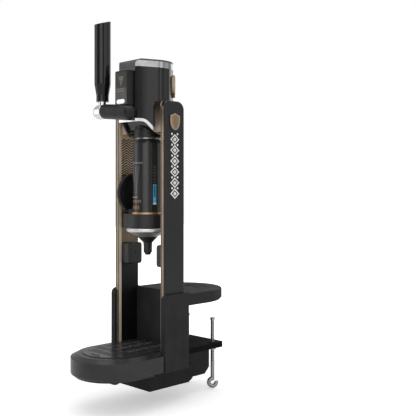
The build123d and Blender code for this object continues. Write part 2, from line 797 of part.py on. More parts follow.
def power_case():
    """Supply case under the base, with its tail under the clamp plate."""
    lid_z = housing_bottom_z - fit_gap
    tail_top_z = clamp_top_z - clamp_plate - fit_gap
    tail_front_y = housing_back_y + fit_gap
    main_side = Polyline(
        (box_front_y, lid_z),
        (box_back_y, lid_z),
        (box_back_y, tail_bottom_z),
        (box_back_y - (tail_bottom_z - box_bottom_z) * box_slope, box_bottom_z),
        (box_front_y, box_bottom_z),
        close=True,
    )
    tail_side = Polyline(
        (tail_front_y, tail_top_z),
        (tail_end_y, tail_top_z),
        (tail_end_y, tail_bottom_z + tail_chamfer),
        (tail_end_y - tail_chamfer, tail_bottom_z),
        (tail_front_y, tail_bottom_z),
        close=True,
    )
    case = prism_x(make_face(main_side), both(box_half_width))
    case += prism_x(make_face(tail_side), both(tail_half_width))
    case -= span(
        both(box_half_width - box_wall),
        (box_front_y + box_wall, tail_front_y - box_wall),
        (box_bottom_z + box_wall, lid_z - box_wall),
    )
    case -= span(
        both(tail_half_width - box_wall),
        (tail_front_y - box_wall, tail_end_y - tail_chamfer),
        (tail_bottom_z + box_wall, tail_top_z - box_wall),
    )
    case -= span(
        about(inlet_x, inlet_width),
        (tail_end_y - tail_chamfer - cut_over, tail_end_y),
        about(inlet_z, inlet_height),
    )
    return {"power_box": case}


def power_inlet():
    """Mains inlet with three pins, in the end of the case's tail."""
    low_y = tail_end_y - inlet_depth
    inlet = span(about(inlet_x, inlet_width), (low_y, tail_end_y), about(inlet_z, inlet_height))
    floor_y = low_y + inlet_wall
    inlet -= span(
        about(inlet_x, inlet_width - 2 * inlet_wall),
        (floor_y, tail_end_y),
        about(inlet_z, inlet_height - 2 * inlet_wall),
    )
    pin = Rot(90, 0, 0) * Cylinder(inlet_pin_radius, inlet_pin_length)
    pin = Pos(0, floor_y + inlet_pin_length / 2, inlet_z) * pin
    for step in (-1, 0, 1):
        inlet += Pos(inlet_x + step * inlet_pin_pitch, 0, 0) * pin
    return {"power_inlet": inlet}


def power_supply():
    """Supply board on its posts, with transformer and heat sink."""
    floor_z = box_bottom_z + box_wall
    board_z = (floor_z + board_standoff, floor_z + board_standoff + board_thickness)
    board_x = box_half_width - box_wall - board_margin
    front_y = box_front_y + box_wall + board_margin
    board_y = (front_y, front_y + board_length)
    middle_y = (board_y[0] + board_y[1]) / 2
    supply = span(both(board_x), board_y, board_z)
    for x, size, height in (
        ((-board_x + board_margin, -board_margin), transformer_size, transformer_height),
        ((board_margin, board_x - board_margin), heat_sink_size, heat_sink_height),
    ):
        supply += span(x, about(middle_y, size), (board_z[1], board_z[1] + height))
    for x in both(board_x - board_margin):
        for y in (board_y[0] + board_margin, board_y[1] - board_margin):
            supply += rod_z(board_post_radius, x, y, (floor_z, board_z[0]))
    return {"power_supply": supply}


# ---------------------------------------------------------------- head
arm_slope = atan2(tap_z - arm_root_z, arm_root_x - arm_end_x)
arm_length = sqrt((arm_root_x - arm_end_x) ** 2 + (tap_z - arm_root_z) ** 2)
arm_bore = axle_radius + bush_wall
window_z = about(tap_z, 2 * (tap_z - crank_pin_z + crank_eye + window_margin))
window_x = about(crank_x, crank_width + window_margin)


def head_shell():
    """Hollow black head with curved underside, and the chrome lip around its chin."""
    plan = head_outline()
    solid = prism_z(plan, (head_low_z, head_seam_z))
    wide = both(2 * head_half_width)
    below = prism_x(under_head(), wide)
    below_trim = prism_x(under_head(chin_trim_height), wide)
    below_floor = prism_x(under_head(chin_trim_height + head_floor), wide)
    ahead = span(wide, (head_front_y - head_height, chin_trim_end_y), (head_low_z - head_height, head_seam_z))
    shell = solid - below - (below_trim & ahead)
    shell -= prism_z(head_outline(-head_wall), (head_low_z, head_seam_z)) - below_floor
    shell -= rod_z(adapter_radius + fit_gap, 0, keg_y, (head_low_z, head_seam_z))
    shell -= span(window_x, (head_front_y, head_front_y + head_wall), window_z)
    ribbon_y = (head_front_y, head_front_y + head_wall)
    shell -= span(both(ribbon_half_width), ribbon_y, about(display_middle_z, ribbon_height))
    for side in (1, -1):
        for y, z in shoulder_holes:
            x = sorted((side * head_front_half, side * (head_half_width + cut_over)))
            shell -= rod_x(bolt_radius + running_gap, x, y, z)
    ring = prism_z(head_outline(chin_trim_proud), (head_low_z, head_chin_z + 2 * chin_trim_height))
    ring -= prism_z(head_outline(-head_wall), (head_low_z, head_chin_z + 2 * chin_trim_height))
    trim = (ring & below_trim & ahead) - below
    return {"head_housing": shell, "head_trim": trim}


def head_top():
    """Black cap with a sloping brow and the chrome band around sides and back."""
    z = (head_seam_z, head_top_z)
    side = Polyline(
        (head_front_y, head_seam_z),
        (head_front_y, head_top_z - head_slope),
        (head_front_y + head_slope, head_top_z),
        (head_back_y, head_top_z),
        (head_back_y, head_seam_z),
        close=True,
    )
    side = make_face(side)
    upper = [vertex for vertex in side.vertices() if vertex.Y > head_seam_z + head_wall]
    brow = [vertex for vertex in upper if vertex.X < keg_y]
    cap = prism_z(head_outline(), z) & prism_x(fillet(brow, brow_round), both(head_half_width))
    band_z = (head_seam_z, head_seam_z + head_band_height)
    ring = prism_z(head_outline(), band_z) - prism_z(head_outline(-head_band_thickness), band_z)
    front = span(both(head_front_half - head_corner), (head_front_y, head_front_y + head_wall), band_z)
    band = (ring & cap) - front
    cap -= band
    cap -= prism_z(head_outline(-head_band_thickness - head_wall), (head_seam_z, head_top_z - 2 * head_wall))
    return {"head_cap": cap, "head_band": band}


def head_shoulders():
    """Gold blocks that carry the head between the cheeks, and the bolts through them."""
    block = span(
        (head_front_half, bay_half_width),
        (shoulder_front_y, shoulder_back_y),
        (shoulder_low_z, shoulder_top_z),
    )
    block -= prism_z(head_outline(), (shoulder_low_z, shoulder_top_z))
    lip = prism_z(head_outline(chin_trim_proud + fit_gap), (shoulder_low_z, head_chin_z))
    block -= lip & prism_x(under_head(chin_trim_height + fit_gap), both(bay_half_width))
    bolts = []
    for y, z in shoulder_holes:
        block -= rod_x(bolt_radius + running_gap, (head_front_half, bay_half_width), y, z)
        cap_x = liner_outer_x + fit_gap + post_wall
        shank = rod_x(bolt_radius, (head_half_width - head_wall - bolt_grip, cap_x), y, z)
        cap = rod_x(bolt_head_radius, (cap_x, cap_x + bolt_head_height), y, z)
        bolts += [shank + cap, mirrored(shank + cap)]
    return {**pair("head_shoulder", block), "shoulder_bolts": Compound(bolts)}


def display_parts():
    """Display box on the head's front with its dark window, and the lit button through both."""
    y = (display_front_y, head_front_y)
    box = span(both(display_half_width), y, (display_low_z, display_high_z))
    box = fillet(box.edges().filter_by(Axis.Z).group_by(Axis.Y)[0], display_round)
    box = fillet(box.edges().filter_by(Axis.X).group_by(Axis.Z)[-1].sort_by(Axis.Y)[0], display_round)
    box -= span(
        both(display_half_width - display_wall - display_rebate),
        (display_front_y + display_wall + panel_thickness, head_front_y),
        (display_low_z + display_wall, display_high_z - display_wall - display_rebate),
    )
    panel_z = (display_low_z + panel_margin / 2, display_high_z - panel_margin)
    panel_y = (display_front_y, display_front_y + panel_thickness)
    box -= span(both(panel_half_width), panel_y, panel_z)
    glass_z = (panel_z[0] + panel_gap, panel_z[1] - panel_gap)
    panel = span(both(panel_half_width - panel_gap), panel_y, glass_z)
    passage = Plane.XZ * SlotOverall(button_length + 2 * fit_gap, button_height + 2 * fit_gap)
    hole = Pos(button_x, display_front_y - button_proud, button_z) * extrude(passage, amount=-button_depth)
    return {"display_housing": box - hole, "display_panel": panel - hole}


def power_button():
    """Long lit button with a short stem behind it."""
    front_y = display_front_y - button_proud
    cap = extrude(Plane.XZ * SlotOverall(button_length, button_height), amount=-button_depth)
    cap = Pos(button_x, front_y, button_z) * cap
    cap = fillet(cap.faces().sort_by(Axis.Y)[0].edges(), button_round)
    stem = Cylinder(button_stem_radius, button_stem_length, align=(Align.CENTER, Align.CENTER, Align.MIN))
    return {"power_button": cap + Pos(button_x, front_y + button_depth, button_z) * Rot(-90, 0, 0) * stem}


def control_board():
    """Circuit board on two posts behind the head's front wall, with one chip."""
    wall_y = head_front_y + head_wall
    board_y = (wall_y + control_gap, wall_y + control_gap + control_thickness)
    board_z = (display_low_z + control_rise, display_high_z - control_drop)
    board = span(both(control_half_width), board_y, board_z)
    post = Rot(90, 0, 0) * Cylinder(control_post_radius, control_gap)
    for x in both(control_post_x):
        board += Pos(x, wall_y + control_gap / 2, display_high_z - control_post_drop) * post
    board += span(
        about(chip_x, chip_width),
        (board_y[1], board_y[1] + chip_depth),
        about(display_middle_z + chip_rise, chip_height),
    )
    return {"control_board": board}


def head_badge():
    """Upright medallion on the head's back quarter, with a curved seat."""
    plate = Rot(90, 0, 0) * shield(head_badge_half_width, head_badge_height, 4 * head_badge_thickness)
    reach = head_half_width + head_badge_thickness
    turn = Rot(0, 0, 90 + head_badge_angle)
    plate = Pos(0, head_centre_y, head_badge_z) * turn * Pos(0, 4 * head_badge_thickness - reach, 0) * plate
    return {"head_badge": plate - prism_z(head_outline(), (head_low_z, head_seam_z))}


def pump_parts():
    """Air pump inside the head and the adapter that seals on the keg."""
    floor_z = head_low_z + chin_trim_height + head_floor
    pump_y = keg_y + pump_setback
    pump_low = adapter_top_z + pump_rise
    pump_half = pump_radius + pump_wall
    block_x = both(pump_half + pump_block_margin)
    post_y = pump_y + pump_post_setback
    pump = rod_z(pump_radius, 0, pump_y, (pump_low + pump_base, pump_low + pump_base + pump_length))
    pump += span(block_x, about(pump_y, 2 * pump_half), (pump_low, pump_low + pump_base))
    pump += span(block_x, (post_y, post_y + pump_post_depth), (floor_z, pump_low))
    adapter = rod_z(adapter_radius, 0, keg_y, (keg_top_z + fit_gap, adapter_top_z))
    collar = rod_z(adapter_flange_radius, 0, keg_y, (keg_top_z + fit_gap, head_chin_z))
    adapter += collar & prism_x(under_head(-fit_gap), both(adapter_flange_radius + cut_over))
    adapter -= rod_z(valve_rod_radius + running_gap, 0, keg_y, (keg_top_z, adapter_top_z))
    return {"air_pump": pump, "can_adapter": adapter}


# ---------------------------------------------------------------- tap
def tap_arm_parts():
    """Fixed tapered arm across the head's front and the bushes it holds."""
    side = Polyline(
        (arm_length, 0),
        (-arm_end_radius, 0),
        (-arm_end_radius, arm_end_radius),
        (arm_length, arm_root_radius),
    )
    root = ThreePointArc(
        (arm_length, arm_root_radius),
        (arm_length + arm_root_radius * cos(pi / 4), arm_root_radius * sin(pi / 4)),
        (arm_length + arm_root_radius, 0),
    )
    nose = Line((arm_length + arm_root_radius, 0), (arm_length, 0))
    arm = revolve(Plane.XZ * make_face(side + root + nose), Axis.X)
    arm = Pos(arm_end_x, tap_y, tap_z) * Rot(0, degrees(arm_slope), 0) * arm
    arm -= span((arm_end_x - arm_cut, arm_end_x), about(tap_y, arm_cut), about(tap_z, arm_cut))
    arm -= prism_z(head_outline(), (head_low_z, head_seam_z))
    arm -= prism_z(head_outline(chin_trim_proud), (head_low_z, head_chin_z + chin_trim_height))
    display_y = (tap_y - arm_cut / 2, head_front_y)
    arm -= span(both(display_half_width + fit_gap), display_y, (display_low_z, display_high_z))
    arm -= rod_x(arm_bore, (arm_end_x, window_x[0] + cut_over), tap_y, tap_z)
    arm -= rod_x(crank_boss + crank_room, window_x, tap_y, tap_z)
    lean = radians(pull_angle / 2)
    reach_y = head_front_y + cut_over
    crank_top_z = tap_z + crank_eye / cos(lean) + (reach_y - tap_y) * tan(lean) + crank_room
    arm -= span(window_x, (tap_y, reach_y), (window_z[0], crank_top_z))
    bushes = []
    for x in (arm_end_x, window_x[0] - bush_length):
        ring = rod_x(arm_bore, (x, x + bush_length), tap_y, tap_z)
        bushes.append(ring - rod_x(axle_radius + running_gap, (x, x + bush_length), tap_y, tap_z))
    return {"tap_arm": arm, "tap_bushes": Compound(bushes)}


def tap_axle_and_crank():
    """Axle through the arm, and the crank on its end with a pin for the valve rod."""
    axle = rod_x(axle_radius, (hub_end_x, crank_x + crank_width / 2), tap_y, tap_z)
    crank_span = about(crank_x, crank_width)
    crank = rod_x(crank_boss, crank_span, tap_y, tap_z)
    crank += rod_x(crank_eye, crank_span, crank_pin_y, crank_pin_z)
    web = span(crank_span, (0, crank_radius), both(crank_eye))
    crank += Pos(0, tap_y, tap_z) * Rot(-pull_angle / 2, 0, 0) * web
    crank -= rod_x(axle_radius, crank_span, tap_y, tap_z)
    crank += rod_x(crank_pin_radius, (crank_x, pin_end_x), crank_pin_y, crank_pin_z)
    return {"tap_axle": axle, "tap_crank": crank}


def tap_hub_parts():
    """Hub at the arm's end, its cap, and the stem that carries the handle."""
    hub = rod_x(hub_radius, (hub_end_x, arm_end_x - fit_gap), tap_y, tap_z)
    hub = fillet(hub.edges().filter_by(GeomType.CIRCLE), hub_round)
    hub -= rod_x(axle_radius, (hub_end_x, arm_end_x), tap_y, tap_z)
    hub -= rod_z(stem_radius, handle_x, tap_y, (stem_low_z, handle_low_z))
    cap = rod_x(hub_radius - hub_cap_step, (hub_end_x - hub_cap_length, hub_end_x), tap_y, tap_z)
    cap = fillet(cap.faces().sort_by(Axis.X)[0].edges(), hub_cap_step)
    stem = rod_z(stem_radius, handle_x, tap_y, (stem_low_z, handle_low_z))
    stem += rod_z(stud_radius, handle_x, tap_y, (handle_low_z, handle_low_z + stud_length))
    stem -= rod_x(axle_radius, (hub_end_x, arm_end_x), tap_y, tap_z)
    return {"tap_hub": hub, "tap_hub_cap": cap, "tap_stem": stem}


def tap_handle():
    """Flared handle over the stem's stud, cut off at a slant."""
    profile = [
        (stud_radius, handle_low_z),
        (handle_neck_radius, handle_low_z),
        (handle_neck_radius, handle_neck_top_z),
        (handle_radius, handle_flare_z),
        (handle_radius, handle_top_z + handle_radius),
        (0, handle_top_z + handle_radius),
        (0, handle_low_z + stud_length),
        (stud_radius, handle_low_z + stud_length),
    ]
    handle = turned(profile, handle_x, tap_y)
    above = Pos(0, 0, handle_radius * 2) * Box(6 * handle_radius, 6 * handle_radius, 4 * handle_radius)
    handle -= Pos(handle_x, tap_y, handle_top_z) * Rot(handle_top_slope, 0, 0) * above
    return {"tap_handle": fillet(handle.faces().sort_by(Axis.Z)[-1].edges(), handle_round)}


def valve_rod():
    """Slotted yoke that follows the crank's pin, with the rod into the keg adapter."""
    yoke_low_x = crank_x + crank_width / 2 + fit_gap
    z = about(crank_pin_z, yoke_height)
    front_y = head_front_y + head_wall + 2 * fit_gap
    sweep = crank_radius * (1 - cos(radians(pull_angle / 2)))
    yoke_x = (yoke_low_x, yoke_low_x + yoke_width)
    yoke = span(yoke_x, (front_y, keg_y + valve_rod_radius), z)
    slot_y = (front_y + yoke_wall, crank_pin_y + crank_pin_radius + sweep + cut_over)
    yoke -= span(yoke_x, slot_y, about(crank_pin_z, 2 * crank_pin_radius + fit_gap))
    yoke += span((yoke_low_x, valve_rod_radius), about(keg_y, yoke_boss), z)
    yoke += rod_z(valve_rod_radius, 0, keg_y, (keg_top_z + valve_rod_gap, z[0]))
    return {"valve_rod": yoke}


# ---------------------------------------------------------------- keg carriage
def keg():
    """Drawn metal keg with a rim at each end and an opening for the needle."""
    neck = keg_radius - keg_neck
    inner = keg_radius - keg_wall
    low, high = keg_base_z, keg_top_z
    taper = keg_rim + 2 * keg_neck
    outside = [
        (0, low + keg_dish),
        (neck - keg_rim, low + keg_dish),
        (neck - keg_rim, low),
        (neck, low),
        (neck, low + keg_rim),
        (keg_radius, low + taper),
        (keg_radius, high - taper),
        (neck, high - keg_rim),
        (neck, high),
        (neck - keg_rim, high),
        (neck - keg_rim, high - keg_dish),
        (0, high - keg_dish),
    ]
    end = keg_dish + keg_end_wall
    inside = [
        (0, low + end),
        (neck - keg_rim, low + end),
        (inner, low + taper + keg_wall),
        (inner, high - taper - keg_wall),
        (neck - keg_rim, high - end),
        (0, high - end),
    ]
    can = turned(outside, 0, keg_y) - turned(inside, 0, keg_y)
    return {"mini_keg": can - rod_z(needle_radius + needle_room, 0, keg_y, (low, low + needle_rise))}


def cup_parts():
    """Cup that holds the keg's foot, with a raised lug, and the gold ring on its rim."""
    cup = rod_z(cup_radius, 0, keg_y, (cup_low_z, cup_high_z))
    lug = rod_z(cup_radius, 0, keg_y, (cup_high_z, cup_lug_z))
    reach = 2 * cup_radius
    half = reach * tan(radians(cup_lug_width / 2))
    wedge = Polyline((0, 0), (reach, -half), (reach, half), close=True)
    lug &= Pos(0, keg_y, 0) * Rot(0, 0, cup_lug_turn) * prism_z(make_face(wedge), (cup_high_z, cup_lug_z))
    ring_radius = keg_radius + fit_gap + cup_ring_wall
    lug -= rod_z(ring_radius + fit_gap, 0, keg_y, (cup_high_z, cup_lug_z))
    cup += lug
    cup -= rod_z(keg_radius + fit_gap, 0, keg_y, (keg_base_z - fit_gap, cup_high_z))
    cup -= rod_z(needle_radius, 0, keg_y, (cup_low_z, keg_base_z))
    ring = rod_z(ring_radius, 0, keg_y, (cup_high_z, cup_high_z + cup_ring_height))
    ring -= rod_z(keg_radius + fit_gap, 0, keg_y, (cup_high_z, cup_high_z + cup_ring_height))
    return {"can_cup": cup, "cup_ring": ring}


def spout_parts():
    """Chrome funnel under the cup, the spout below it and the needle that opens the keg."""
    funnel_profile = [
        (needle_radius, funnel_low_z),
        (funnel_neck_radius, funnel_low_z),
        (funnel_radius, cup_low_z - funnel_rim),
        (funnel_radius, cup_low_z),
        (cup_radius - funnel_seat, cup_low_z),
        (cup_radius - funnel_seat, cup_low_z - funnel_rim),
        (funnel_neck_radius - funnel_wall, funnel_low_z + funnel_wall),
        (needle_radius, funnel_low_z + funnel_wall),
    ]
    nozzle_profile = [
        (nozzle_bore, nozzle_low_z),
        (nozzle_radius - nozzle_tip, nozzle_low_z),
        (nozzle_radius, nozzle_low_z + 2 * nozzle_tip),
        (nozzle_waist_radius, nozzle_waist_z),
        (funnel_neck_radius, funnel_low_z),
        (nozzle_bore, funnel_low_z),
    ]
    needle_profile = [
        (needle_bore, funnel_low_z),
        (needle_radius, funnel_low_z),
        (needle_radius, needle_top_z - needle_point),
        (needle_tip_radius, needle_top_z),
        (needle_bore, needle_top_z),
    ]
    funnel = turned(funnel_profile, 0, keg_y)
    rings = funnel.edges().filter_by(GeomType.CIRCLE)
    rim = [edge for edge in rings if edge.radius > funnel_radius - fit_gap]
    return {
        "funnel": fillet(rim, funnel_rim_round),
        "nozzle": turned(nozzle_profile, 0, keg_y),
        "piercing_needle": turned(needle_profile, 0, keg_y),
    }


def involute_half_width(radius):
    """Half the angle of a pinion tooth at a radius."""
    base = gear_pitch_radius * cos(radians(pressure_angle))
    at_pitch = (pi / 2 - gear_backlash / gear_module) / gear_teeth

    def unwind(r):
        """Involute angle at a radius, flat below the base circle."""
        lean = acos(min(1.0, base / r))
        return tan(lean) - lean

    return at_pitch + unwind(gear_pitch_radius) - unwind(radius)


def pinion_outline():
    """Plan of the pinion, with one tooth pointing along +X."""
    tip = gear_pitch_radius + gear_module
    root = gear_pitch_radius - gear_root * gear_module
    radii = [root + (tip - root) * step / flank_steps for step in range(flank_steps + 1)]
    points = []
    for tooth in range(gear_teeth):
        middle = 2 * pi * tooth / gear_teeth
        for radius in radii:
            angle = middle - involute_half_width(radius)
            points.append((radius * cos(angle), radius * sin(angle)))
        for radius in reversed(radii):
            angle = middle + involute_half_width(radius)
            points.append((radius * cos(angle), radius * sin(angle)))
    return make_face(Polyline(*points, close=True))


def rack_teeth():
    """Rack teeth on the pitch line, gaps in step with the pinion's tooth at rest."""
    pitch = pi * gear_module
    lean = tan(radians(pressure_angle))
    half = pitch / 4 - gear_backlash / 2
    tip_y = rack_pitch_y - gear_module
    tip_half = half - gear_module * lean
    root_half = half + gear_root * gear_module * lean
    back_y = rack_root_y + cut_over
    teeth = []
    for step in range(-2, int(lift_travel / pitch) + 4):
        middle = wheel_z + (step + 0.5) * pitch
        outline = Polyline(
            (rack_root_y, middle - root_half),
            (tip_y, middle - tip_half),
            (tip_y, middle + tip_half),
            (rack_root_y, middle + root_half),
            (back_y, middle + root_half),
            (back_y, middle - root_half),
            close=True,
        )
        teeth.append(prism_x(make_face(outline), about(gear_x, gear_face)))
    return teeth


rack_x = about(gear_x - rack_offset, rack_thickness)


def thumb_wheel():
    """Thumb wheel with a groove in each face."""
    x = about(wheel_x, wheel_thickness)
    wheel = rod_x(wheel_radius, x, wheel_y, wheel_z)
    wheel = fillet(wheel.edges().filter_by(GeomType.CIRCLE), wheel_round)
    groove_radius = wheel_radius - groove_inset
    for groove_x in ((x[0], x[0] + groove_depth), (x[1] - groove_depth, x[1])):
        groove = rod_x(groove_radius, groove_x, wheel_y, wheel_z)
        wheel -= groove - rod_x(groove_radius - groove_width, groove_x, wheel_y, wheel_z)
    return {"lift_wheel": wheel - rod_x(wheel_shaft_radius, x, wheel_y, wheel_z)}


def pinion_shaft():
    """Shaft from the left cheek to the thumb wheel, with the pinion on it."""
    shaft = rod_x(wheel_shaft_radius, (-liner_outer_x, wheel_x + wheel_thickness / 2), wheel_y, wheel_z)
    gear = Rot(0, 90, 0) * Rot(0, 0, 90) * extrude(pinion_outline(), amount=gear_face)
    return {"pinion_shaft": shaft + Pos(gear_x - gear_face / 2, wheel_y, wheel_z) * gear}


def carriage_arm():
    """Block that carries the cup from its left side, with the toothed bar behind it."""
    rack_top_z = wheel_z + lift_travel + 4 * pi * gear_module
    bar = span(rack_x, (rack_root_y, rack_back_y), (arm_block_low_z, rack_top_z))
    block = span(
        (-bay_half_width + fit_gap, -cup_radius / 2),
        (arm_block_front_y, rack_back_y),
        (arm_block_low_z, arm_block_high_z),
    )
    block = fillet(block.edges().filter_by(Axis.Z).group_by(Axis.Y)[0].sort_by(Axis.X)[0], arm_block_round)
    block -= rod_z(cup_radius, 0, keg_y, (arm_block_low_z - cut_over, arm_block_high_z + cut_over))
    rack = bar + block
    for tooth in rack_teeth():
        rack += tooth
    return {"lift_rack": rack}


def lift_guide():
    """Guide on the left cheek: a channel for the rack and room for the pinion."""
    z = (guide_low_z, guide_high_z)
    channel_x = (rack_x[0] - fit_gap, rack_x[1])
    guide = span(
        (-bay_half_width, rack_x[1] - guide_step),
        (wheel_y - gear_pitch_radius - guide_margin, rack_back_y + guide_margin),
        z,
    )
    guide -= span(channel_x, (rack_pitch_y - gear_module - fit_gap, rack_back_y + fit_gap), z)
    guide -= rod_x(gear_pitch_radius + gear_module + guide_gear_room, channel_x, wheel_y, wheel_z)
    guide -= rod_x(wheel_shaft_radius + running_gap, (-bay_half_width, rack_x[0]), wheel_y, wheel_z)
    return {"lift_guide": guide}


# ---------------------------------------------------------------- assembly
def all_parts():
    """Every node of the dispenser by name."""
    parts = {}
    for build in (
        tower_shells,
        tower_trims,
        tower_liners,
        tower_posts,
        sensor_pods,
        side_badge,
        clamp_frame_parts,
        base_housing,
        shelf_parts,
        tray_shell,
        drip_parts,
        clamp_screws,
        power_case,
        power_inlet,
        power_supply,
        head_shell,
        head_top,
        head_shoulders,
        display_parts,
        power_button,
        control_board,
        head_badge,
        pump_parts,
        tap_arm_parts,
        tap_axle_and_crank,
        tap_hub_parts,
        tap_handle,
        valve_rod,
        keg,
        cup_parts,
        spout_parts,
        thumb_wheel,
        pinion_shaft,
        carriage_arm,
        lift_guide,
    ):
        parts.update(build())
    return parts


os.makedirs("parts", exist_ok=True)
for name, part in all_parts().items():
    export_step(part, f"parts/{name}.step")
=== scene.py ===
"""Looks of a counter-edge dispenser for small upright kegs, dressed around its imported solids."""

import logging
import math
from dataclasses import dataclass
from enum import Enum
from functools import reduce
from typing import Any, ClassVar

import bpy
from mathutils import Matrix, Vector


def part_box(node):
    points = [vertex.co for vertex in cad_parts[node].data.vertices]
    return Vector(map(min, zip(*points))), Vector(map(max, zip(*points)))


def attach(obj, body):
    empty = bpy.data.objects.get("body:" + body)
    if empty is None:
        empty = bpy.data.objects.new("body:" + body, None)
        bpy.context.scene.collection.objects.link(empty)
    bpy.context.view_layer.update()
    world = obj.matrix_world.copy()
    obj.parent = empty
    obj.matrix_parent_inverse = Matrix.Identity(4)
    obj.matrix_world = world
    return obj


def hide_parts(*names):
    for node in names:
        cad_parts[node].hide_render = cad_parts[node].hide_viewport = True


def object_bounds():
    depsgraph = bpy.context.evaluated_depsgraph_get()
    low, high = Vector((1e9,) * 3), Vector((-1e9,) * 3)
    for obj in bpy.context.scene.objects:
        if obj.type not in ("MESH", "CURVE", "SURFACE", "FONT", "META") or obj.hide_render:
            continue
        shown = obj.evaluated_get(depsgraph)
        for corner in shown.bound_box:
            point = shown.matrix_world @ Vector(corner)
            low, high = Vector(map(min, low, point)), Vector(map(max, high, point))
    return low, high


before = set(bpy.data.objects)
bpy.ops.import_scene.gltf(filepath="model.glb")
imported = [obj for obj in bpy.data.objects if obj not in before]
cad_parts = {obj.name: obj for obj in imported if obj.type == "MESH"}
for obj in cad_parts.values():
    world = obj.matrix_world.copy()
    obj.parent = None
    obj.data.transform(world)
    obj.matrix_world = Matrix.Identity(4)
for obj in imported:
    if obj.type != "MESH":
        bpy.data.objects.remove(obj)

CAD_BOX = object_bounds()
LOG = logging.getLogger("dispenser")
MM = 0.001
MIDDLE = (0.35, 0.65)  # where half of a noise's values lie
WIDE = (0.3, 0.7)  # where most of a noise's values lie

Colour = tuple[float, float, float]
Shades = tuple[Colour, Colour]
Point = tuple[float, float, float]
Span = tuple[float, float]
Node = bpy.types.Node
Socket = bpy.types.NodeSocket
Number = float | Socket


class Facing(Enum):
    """Where a flat detail looks, as its turn from the front about the upright axis, in degrees."""

    FRONT = 0.0
    RIGHT = 90.0
    BACK_RIGHT = 135.0


# --- node trees
class Graph:
    """Writes nodes into a tree, one call for each node."""

    def __init__(self, tree: bpy.types.NodeTree) -> None:
        """Start on an emptied tree."""
        self.tree = tree
        tree.nodes.clear()

    def node(self, kind: str, inputs: dict[Any, Any] | None = None, **settings: Any) -> Node:
        """Add a node.

        Args:
            kind: Blender's name of the node's type.
            inputs: Sockets or plain values, by the input's name or index.
            settings: The node's own options.

        Returns:
            The new node.
        """
        made = self.tree.nodes.new(kind)
        for name, value in settings.items():
            setattr(made, name, value)
        for key, value in (inputs or {}).items():
            if isinstance(value, Socket):
                self.tree.links.new(value, made.inputs[key])
            else:
                made.inputs[key].default_value = value
        return made

    def out(self, kind: str, inputs: dict[Any, Any] | None = None, **settings: Any) -> Socket:
        """The first output of a new node."""
        return self.node(kind, inputs, **settings).outputs[0]

    def math(self, operation: str, a: Number, b: Number = 0.0, c: Number = 0.0) -> Socket:
        """Apply one of Blender's math operations to sockets or numbers."""
        return self.out("ShaderNodeMath", {0: a, 1: b, 2: c}, operation=operation)

    def times(self, *factors: Number) -> Socket:
        """The product of sockets and numbers."""
        return reduce(lambda product, factor: self.math("MULTIPLY", product, factor), factors)

    def remap(self, value: Socket, low: float, high: float, first: float = 0.0,
              last: float = 1.0) -> Socket:
        """Map low..high to first..last, held at both ends."""
        inputs = {0: value, 1: low, 2: high, 3: first, 4: last}
        return self.out("ShaderNodeMapRange", inputs)


